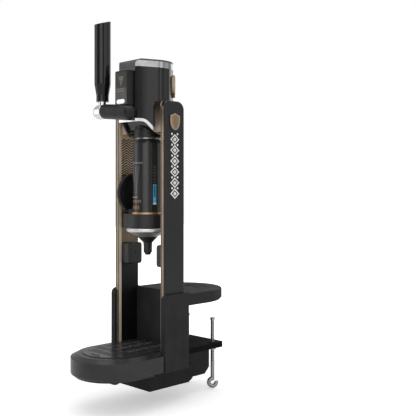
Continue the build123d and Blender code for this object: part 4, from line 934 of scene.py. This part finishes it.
@dataclass
class Medallion:
    """Raised rim and an ear of barley on a flat medallion."""

    name: str
    centre: Vector
    facing: Facing
    half_width: float
    height: float
    kernels: int = 6
    relief: float = 0.7
    inset: float = 2.0
    shoulder: float = 5.0
    steps: int = 16

    def make(self) -> None:
        """Make the rim and the ear on the root body."""
        self.rim()
        self.ear()

    def outline(self) -> list[tuple[float, float]]:
        """Draw the shield: a round tip below the waist, and a peaked top.

        Returns:
            Points across and up from the shield's middle, a little inside its edge.
        """
        half, top, waist = self.half_width, 0.5 * self.height, 0.2 * self.height
        angles = [step * math.pi / self.steps for step in range(self.steps + 1)]
        points = [(half * math.cos(a), waist - (top + waist) * math.sin(a)) for a in angles]
        points += [(-half, top - self.shoulder), (0.0, top), (half, top - self.shoulder)]
        narrow, lower = 1 - self.inset / half, 1 - 2 * self.inset / self.height
        return [(x * narrow, z * lower) for x, z in points]

    def rim(self) -> None:
        """Lay a thin silver tube along the outline."""
        points = self.outline()
        line = bpy.data.curves.new(self.name + "_line", "CURVE")
        line.dimensions = "3D"
        spline = line.splines.new("POLY")
        spline.points.add(len(points) - 1)
        for point, (x, z) in zip(spline.points, points):
            point.co = (x, 0.0, z, 1.0)
        spline.use_cyclic_u = True
        host = placed(line.name, line)
        pattern = Pattern(self.name + "_rim", wire=self.relief)
        curve = pattern.node("GeometryNodeObjectInfo", {"Object": host}).outputs["Geometry"]
        tube = pattern.tube(curve, pattern.inputs["wire"])
        pattern.make(tube, SILVER, stand(self.centre, self.facing), "root")
        bpy.data.objects.remove(host)

    def ear(self) -> None:
        """Set kernels in two leaning rows along a stem."""
        pitch = 0.56 * self.height / self.kernels
        low = -0.2 * self.height
        pattern = Pattern(self.name + "_ear", kernels=self.kernels, pitch=pitch, relief=self.relief)
        size = pattern.vector(0.15 * self.half_width, pattern.inputs["relief"], 0.75 * pitch)
        seed = pattern.moved(pattern.ball(8, 5), scale=size)
        step = pattern.vector(z=pattern.inputs["pitch"])
        rows = []
        for side in (-1, 1):
            start = (side * 0.17 * self.half_width, 0.0, low)
            kernel = pattern.moved(seed, turn=(0.0, side * 0.5, 0.0))
            rows.append(pattern.column(kernel, pattern.inputs["kernels"], start, step))
        tip = pattern.moved(seed, (0.0, 0.0, low + pitch * self.kernels))
        stem = pattern.moved(pattern.rod(0.45, 0.6 * self.height), (0.0, 0.0, -0.04 * self.height))
        ear = pattern.joined(*rows, tip, stem)
        pattern.make(ear, BRONZE, stand(self.centre, self.facing), "root")


# --- sub-assemblies
@dataclass
class Tower(SubAssembly):
    """The two cheeks with their strips, wave panels, sensor pods, posts and medallion."""

    wears = {
        "tower_shell_left": CHEEK, "tower_shell_right": CHEEK, "tower_trim_left": STRIP,
        "tower_trim_right": STRIP, "tower_liner_left": WAVES, "tower_liner_right": WAVES,
        "tower_post_left": POWDER_IN_SHADE, "tower_post_right": POWDER_IN_SHADE, "sensor_pod_left": SATIN,
        "sensor_pod_right": SATIN, "side_badge": GOLD,
    }
    ornament_z: Span = (231.0, 369.0)
    ornament_width: float = 22.0
    cells: int = 6
    line: float = 1.8
    dot: float = 2.4
    proud: float = 0.2

    def build(self) -> None:
        """Add the printed ornament and the medallion's relief."""
        self.ornament()
        low, high = node_box("side_badge")
        centre = Vector((high.x, (low.y + high.y) / 2, (low.z + high.z) / 2))
        half = (high.y - low.y) / 2
        Medallion("side_medallion", centre, Facing.RIGHT, half, high.z - low.z).make()

    def ornament(self) -> None:
        """Print a raised pale column of nested lozenges with paired dots on the right cheek."""
        low, high = node_box("tower_shell_right")
        foot, top = self.ornament_z
        pitch = (top - foot) / self.cells
        sizes = {"pitch": pitch, "width": self.ornament_width, "line": self.line}
        pattern = Pattern("cheek_ornament", cells=self.cells, **sizes)
        width, step = pattern.inputs["width"], pattern.inputs["pitch"]
        shapes = []
        for share in (1.0, 0.3):
            half, rise = pattern.times(width, share / 2), pattern.times(step, 0.41 * share)
            lozenge = pattern.moved(pattern.loop(4), scale=pattern.vector(half, rise, 1.0))
            shapes.append(pattern.tube(lozenge, pattern.inputs["line"]))
        dot = pattern.ball(12, 6, self.dot)
        for side in (-0.36, 0.36):
            place = pattern.vector(pattern.times(width, side), pattern.times(step, 0.5))
            shapes.append(pattern.moved(dot, place))
        upright, flat = (math.pi / 2, 0.0, 0.0), (1.0, 1.0, self.proud)
        cell = pattern.moved(pattern.joined(*shapes), turn=upright, scale=flat)
        up = pattern.vector(z=step)
        column = pattern.column(cell, pattern.inputs["cells"], (0.0, 0.0, 0.0), up)
        centre = Vector((high.x, (low.y + high.y) / 2, foot + pitch / 2))
        pattern.make(column, ENAMEL, stand(centre, Facing.RIGHT), "root")


@dataclass
class Base(SubAssembly):
    """Housing with the shelf, its oval lid and the rubber pad."""

    wears = {
        "base_housing": BASE, "shelf_insert": BASE, "counter_pad": RUBBER,
    }


@dataclass
class Tray(SubAssembly):
    """Round-ended carrier with its bowl, slotted grille and feet."""

    wears = {
        "tray_shell": TRAY, "drip_bowl": TRAY, "drip_grille": GRILLE, "tray_feet": FOOT,
    }
    stud_rows: tuple[float, ...] = (-33.75, -11.25, -3.75, 26.25, 33.75)
    stud_pitch: float = 6.5
    studs: int = 15
    stud_radius: float = 1.0
    stud_height: float = 0.6
    notch: Span = (26.0, 9.0)
    notch_x: float = 7.0
    inset: float = 12.0

    def build(self) -> None:
        """Add the anti-slip studs and the rim of the finger notch."""
        low, high = node_box("drip_grille")
        middle = (low.x + high.x) / 2
        self.anti_slip(Vector((middle, high.y - self.inset, high.z)))
        self.finger_notch(Vector((middle + self.notch_x, low.y + self.inset, high.z)))

    def anti_slip(self, start: Vector) -> None:
        """Set rows of small steel studs on the grille.

        Args:
            start: Where the rows start, at the grille's back.
        """
        sizes = {"pitch": self.stud_pitch, "radius": self.stud_radius}
        pattern = Pattern("grille_studs", studs=self.studs, **sizes)
        radius = pattern.inputs["radius"]
        size = pattern.vector(radius, radius, self.stud_height)
        dome = pattern.moved(pattern.ball(8, 4), scale=size)
        step = pattern.vector(y=pattern.times(pattern.inputs["pitch"], -1.0))
        rows = [pattern.column(dome, pattern.inputs["studs"], (x, 0.0, 0.0), step)
                for x in self.stud_rows]
        pattern.make(pattern.joined(*rows), STEEL, stand(start), "drip_grille")

    def finger_notch(self, centre: Vector) -> None:
        """Add a raised oval rim at the grille's front, where a finger lifts it.

        Args:
            centre: The oval's middle.
        """
        length, width = self.notch
        pattern = Pattern("notch_rim", length=length, width=width, wire=0.8)
        half = [pattern.times(pattern.inputs[label], 0.5) for label in ("length", "width")]
        oval = pattern.moved(pattern.loop(32), scale=pattern.vector(*half, 1.0))
        rim = pattern.tube(oval, pattern.inputs["wire"])
        pattern.make(rim, TRAY, stand(centre), "drip_grille")


@dataclass
class Clamp(SubAssembly):
    """Steel frame under the worktop with two threaded screws that end in bent eyes."""

    wears = {
        "clamp_frame": POWDER_IN_SHADE, "clamp_nuts": STEEL, "clamp_screw_left": STEEL,
        "clamp_screw_right": STEEL, "clamp_tip_left": STEEL, "clamp_tip_right": STEEL,
    }
    screw_radius: float = 4.75
    root_radius: float = 4.15
    ridge: float = 0.7
    pitch: float = 2.0
    eye_radius: float = 8.5
    eye_sweep: float = 285.0
    eye_turn: float = 45.0

    def build(self) -> None:
        """Put a threaded screw in place of each plain one."""
        for side in ("right", "left"):
            self.screw("clamp_screw_" + side)

    def screw(self, node: str) -> None:
        """Put a rod with a spiral thread and a bent eye in place of a plain node.

        Args:
            node: The plain screw.
        """
        low, high = node_box(node)
        foot_z = low.z + 2 * self.eye_radius + self.screw_radius
        sizes = {"root": self.root_radius, "ridge": self.ridge, "pitch": self.pitch,
                 "length": high.z - foot_z, "eye": self.eye_radius}
        pattern = Pattern(node + "_threaded", **sizes)
        ball = pattern.ball(24, 12, self.screw_radius)
        shape = pattern.joined(self.thread(pattern), self.rod(pattern), self.eye(pattern), ball)
        tip_low, tip_high = node_box(node.replace("screw", "tip"))
        centre = Vector(((tip_low.x + tip_high.x) / 2, (low.y + high.y) / 2, foot_z))
        piece = pattern.make(shape, STEEL, stand(centre), node)
        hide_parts(node)

    def thread(self, pattern: Pattern) -> Socket:
        """Wind the thread.

        Args:
            pattern: The screw's tree.

        Returns:
            A spiral ridge along the rod.
        """
        ridge, length = pattern.inputs["ridge"], pattern.inputs["length"]
        crest = pattern.math("SUBTRACT", self.screw_radius, ridge)
        turns = pattern.math("DIVIDE", length, pattern.inputs["pitch"])
        inputs = {"Resolution": 20, "Rotations": turns, "Start Radius": crest, "End Radius": crest,
                  "Height": length}
        return pattern.tube(pattern.out("GeometryNodeCurveSpiral", inputs), ridge, 4)

    def rod(self, pattern: Pattern) -> Socket:
        """Stand the rod on the origin.

        Args:
            pattern: The screw's tree.

        Returns:
            The rod, as thick as the thread's root.
        """
        length = pattern.inputs["length"]
        rod = pattern.rod(pattern.inputs["root"], length, 24)
        return pattern.moved(rod, pattern.vector(z=pattern.times(length, 0.5)))

    def eye(self, pattern: Pattern) -> Socket:
        """Bend the open eye.

        Args:
            pattern: The screw's tree.

        Returns:
            The eye, hanging from the origin.
        """
        inputs = {"Resolution": 40, "Radius": pattern.inputs["eye"], "Start Angle": math.pi / 2,
                  "Sweep Angle": math.radians(self.eye_sweep)}
        arc = pattern.out("GeometryNodeCurveArc", inputs)
        eye = pattern.tube(arc, self.screw_radius, 16)
        eye = pattern.moved(eye, turn=(math.pi / 2, 0.0, math.radians(self.eye_turn)))
        return pattern.moved(eye, (0.0, 0.0, -self.eye_radius))


@dataclass
class Supply(SubAssembly):
    """Supply case with its board and inlet."""

    wears = {
        "power_box": UNDER, "power_supply": CIRCUIT, "power_inlet": SATIN,
    }


@dataclass
class Head(SubAssembly):
    """Head with its lip, cap, band, shoulders, bolts, medallion, pump and adapter."""

    wears = {
        "head_housing": HEAD_SATIN, "head_trim": LIP, "head_cap": CAP, "head_band": BAND,
        "head_shoulder_left": SHOULDER, "head_shoulder_right": SHOULDER, "shoulder_bolts": STEEL,
        "head_badge": GOLD, "air_pump": SATIN, "can_adapter": SATIN,
    }
    badge_half_width: float = 13.0
    badge_reach: float = 56.0
    kernels: int = 8

    def build(self) -> None:
        """Add the relief of the medallion on the back quarter."""
        low, high = node_box("head_badge")
        head_low, head_high = node_box("head_housing")
        round_y = head_high.y - (head_high.x - head_low.x) / 2
        away = self.badge_reach * math.sqrt(0.5)
        centre = Vector((away, round_y + away, (low.z + high.z) / 2))
        size = (self.badge_half_width, high.z - low.z)
        Medallion("head_medallion", centre, Facing.BACK_RIGHT, *size, self.kernels).make()


@dataclass
class Display(SubAssembly):
    """Display box with its window, button, board and a printed emblem."""

    wears = {
        "display_housing": BOX, "display_panel": WINDOW, "power_button": LENS,
        "control_board": CIRCUIT,
    }
    emblem_x: float = 0.0
    emblem_z: float = 482.0
    emblem_size: Span = (16.0, 21.0)
    bars: int = 5

    def build(self) -> None:
        """Print a fan of tan bars that narrows downwards on the window."""
        low, _ = node_box("display_panel")
        width, height = self.emblem_size
        pitch = height / self.bars
        pattern = Pattern("display_emblem", width=width, bar=0.55 * pitch)
        fan = []
        for row in range(self.bars):
            across = pattern.times(pattern.inputs["width"], (row + 1.0) / self.bars)
            size = pattern.vector(across, 0.3, pattern.inputs["bar"])
            bar = pattern.out("GeometryNodeMeshCube", {"Size": size})
            fan.append(pattern.moved(bar, (0.0, 0.0, (row + 0.5) * pitch - height / 2)))
        centre = Vector((self.emblem_x, low.y, self.emblem_z))
        pattern.make(pattern.joined(*fan), TAN, stand(centre), "root")


@dataclass
class Tap(SubAssembly):
    """Fixed arm, and the lever with hub, stem and handle that turns in it."""

    wears = {
        "tap_arm": CAST, "tap_bushes": BRONZE, "tap_axle": STEEL, "tap_crank": STEEL,
        "tap_hub": CHROME, "tap_hub_cap": SATIN, "tap_stem": CHROME, "tap_handle": HANDLE,
        "valve_rod": STEEL,
    }


@dataclass
class Carriage(SubAssembly):
    """Keg in its cup with ring, funnel, spout and needle, on a toothed arm."""

    wears = {
        "mini_keg": PRINT, "can_cup": SATIN, "cup_ring": RING_GOLD, "funnel": SATIN_CHROME,
        "nozzle": SATIN, "piercing_needle": STEEL, "lift_rack": SATIN,
    }
    ribs: int = 20
    rib_radius: float = 0.7
    rib_length: float = 16.0
    rib_circle: float = 8.7
    rib_foot: float = 6.0

    def build(self) -> None:
        """Add upright ribs round the spout's lower half."""
        low, high = node_box("nozzle")
        sizes = {"radius": self.rib_radius, "length": self.rib_length, "circle": self.rib_circle}
        pattern = Pattern("spout_ribs", ribs=self.ribs, **sizes)
        rib = pattern.rod(pattern.inputs["radius"], pattern.inputs["length"], 6)
        ring = pattern.ring(rib, pattern.inputs["ribs"], pattern.inputs["circle"])
        centre = (low + high) / 2
        centre.z = low.z + self.rib_foot + self.rib_length / 2
        pattern.make(ring, SATIN, stand(centre), "keg_carriage")


@dataclass
class Lift(SubAssembly):
    """Thumb wheel with its pinion shaft, and the guide on the left cheek."""

    wears = {
        "lift_wheel": WHEEL, "pinion_shaft": STEEL, "lift_guide": SATIN,
    }
    teeth: int = 90
    tooth_radius: float = 0.9
    tooth_share: float = 0.7
    sunk: float = 0.3

    def build(self) -> None:
        """Add the wheel's fine grip teeth."""
        low, high = node_box("lift_wheel")
        sizes = {"tooth": self.tooth_radius, "radius": (high.z - low.z) / 2 - self.sunk,
                 "width": self.tooth_share * (high.x - low.x)}
        pattern = Pattern("wheel_teeth", teeth=self.teeth, **sizes)
        tooth = pattern.rod(pattern.inputs["tooth"], pattern.inputs["width"], 6)
        ring = pattern.ring(tooth, pattern.inputs["teeth"], pattern.inputs["radius"])
        ring = pattern.moved(ring, turn=(0.0, math.pi / 2, 0.0))
        pattern.make(ring, WHEEL, stand((low + high) / 2), "lift_wheel")


# --- studio
@dataclass(frozen=True)
class Lamp:
    """A rectangular soft light aimed at the part."""

    name: str
    place: Point
    size: Span
    watts: float
    target: Point = (0.0, -0.1, 0.2)

    def light(self) -> None:
        """Put the lamp in the scene."""
        data = bpy.data.lights.new(self.name, "AREA")
        data.shape = "RECTANGLE"
        data.size, data.size_y = self.size
        data.energy = self.watts
        lamp = placed(self.name, data)
        aim = (Vector(self.target) - Vector(self.place)).to_track_quat("-Z", "Y")
        lamp.matrix_world = Matrix.Translation(self.place) @ aim.to_matrix().to_4x4()
        lamp.visible_camera = False


@dataclass
class Studio:
    """Pale floor, soft lights, banded surroundings and the camera."""

    floor_half: float = 6.0
    floor_drop: float = 0.0008
    camera_place: Point = (1.2215, -1.1491, 0.250)
    camera_turn: float = 45.0
    lens: float = 62.7
    shift_y: float = -0.043
    panels: tuple[Span, ...] = (
        (-180.0, 0.5), (-150.0, 0.45), (-120.0, 0.3), (-98.0, 0.7), (-78.0, 0.6), (-58.0, 0.12),
        (-40.0, 0.12), (-24.0, 1.4), (4.0, 1.4), (14.0, 0.12), (24.0, 0.12), (34.0, 1.15),
        (46.0, 1.15), (56.0, 0.1), (66.0, 0.12), (80.0, 0.5), (98.0, 0.7), (120.0, 0.3),
        (150.0, 0.45), (180.0, 0.5),
    )
    sky: float = 0.55
    sky_rise: Span = (0.25, 0.8)
    lamps: tuple[Lamp, ...] = (
        Lamp("overhead_soft", (0.2, -0.5, 2.4), (2.6, 2.6), 26.0),
        Lamp("left_strip", (-1.5, -1.3, 0.7), (0.4, 1.9), 2.2),
        Lamp("right_strip", (1.9, 0.5, 0.8), (0.5, 1.9), 3.0),
        Lamp("back_soft", (-0.6, 2.2, 1.0), (1.6, 1.6), 8.0, (0.0, 0.0, 0.2)),
    )

    def build(self) -> None:
        """Set the floor, the lights and the camera."""
        self.lay_floor()
        self.wrap()
        for lamp in self.lamps:
            lamp.light()
        self.set_camera()

    def lay_floor(self) -> None:
        """Lay a pale floor just under the part's lowest point."""
        half, z = self.floor_half, CAD_BOX[0].z - self.floor_drop
        corners = [(-half, -half, z), (half, -half, z), (half, half, z), (-half, half, z)]
        mesh = bpy.data.meshes.new("studio_floor")
        mesh.from_pydata(corners, [], [(0, 1, 2, 3)])
        mesh.materials.append(FLOOR.material())
        floor = placed("studio_floor", mesh)

    def wrap(self) -> None:
        """Put soft upright panels all round, white where they are seen directly."""
        world = bpy.data.worlds.new("studio")
        world.use_nodes = True
        graph = Graph(world.node_tree)
        way = graph.node("ShaderNodeTexCoord").outputs["Generated"]
        parts = graph.node("ShaderNodeSeparateXYZ", {"Vector": way}).outputs
        angle = graph.math("ARCTAN2", parts["Y"], parts["X"])
        angle = graph.math("ADD", angle, math.radians(self.camera_turn))
        turn = graph.remap(graph.math("WRAP", angle, math.pi, -math.pi), -math.pi, math.pi)
        up = graph.remap(parts["Z"], *self.sky_rise)
        inputs = {0: up, 6: self.banded(graph, turn), 7: (self.sky, self.sky, self.sky, 1.0)}
        glow = graph.node("ShaderNodeMix", inputs, data_type="RGBA").outputs[2]
        seen = graph.node("ShaderNodeLightPath").outputs["Is Camera Ray"]
        dim = graph.out("ShaderNodeBackground", {"Color": glow})
        bright = graph.out("ShaderNodeBackground", {"Color": (1.0, 1.0, 1.0, 1.0)})
        mixed = graph.node("ShaderNodeMixShader", {0: seen, 1: dim, 2: bright})
        graph.node("ShaderNodeOutputWorld", {"Surface": mixed.outputs[0]})
        bpy.context.scene.world = world

    def banded(self, graph: Graph, turn: Socket) -> Socket:
        """Set the panels round the horizon.

        Args:
            graph: The world's tree.
            turn: The direction round the horizon, from 0 to 1.

        Returns:
            The panels' grey.
        """
        ramp = graph.node("ShaderNodeValToRGB", {"Fac": turn})
        marks = ramp.color_ramp.elements
        marks.remove(marks[1])
        for degrees, value in self.panels:
            first = degrees == self.panels[0][0]
            mark = marks[0] if first else marks.new((degrees + 180.0) / 360.0)
            mark.color = (value, value, value, 1.0)
        return ramp.outputs["Color"]

    def set_camera(self) -> None:
        """Set a level camera at the front right corner."""
        data = bpy.data.cameras.new("camera")
        data.lens = self.lens
        data.sensor_width = 36.0
        data.shift_y = self.shift_y
        camera = placed("camera", data)
        camera.location = self.camera_place
        camera.rotation_euler = (math.pi / 2, 0.0, math.radians(self.camera_turn))
        bpy.context.scene.camera = camera
        bpy.context.scene.view_settings.view_transform = "Standard"


def main() -> None:
    """Build the sub-assemblies in order and light the scene."""
    logging.basicConfig(level=logging.INFO, format="%(message)s")
    for kind in (Tower, Base, Tray, Clamp, Supply, Head, Display, Tap, Carriage, Lift):
        LOG.info("making the %s", kind.__name__.lower())
        kind().make()
    Studio().build()


if __name__ == "__main__":
    main()
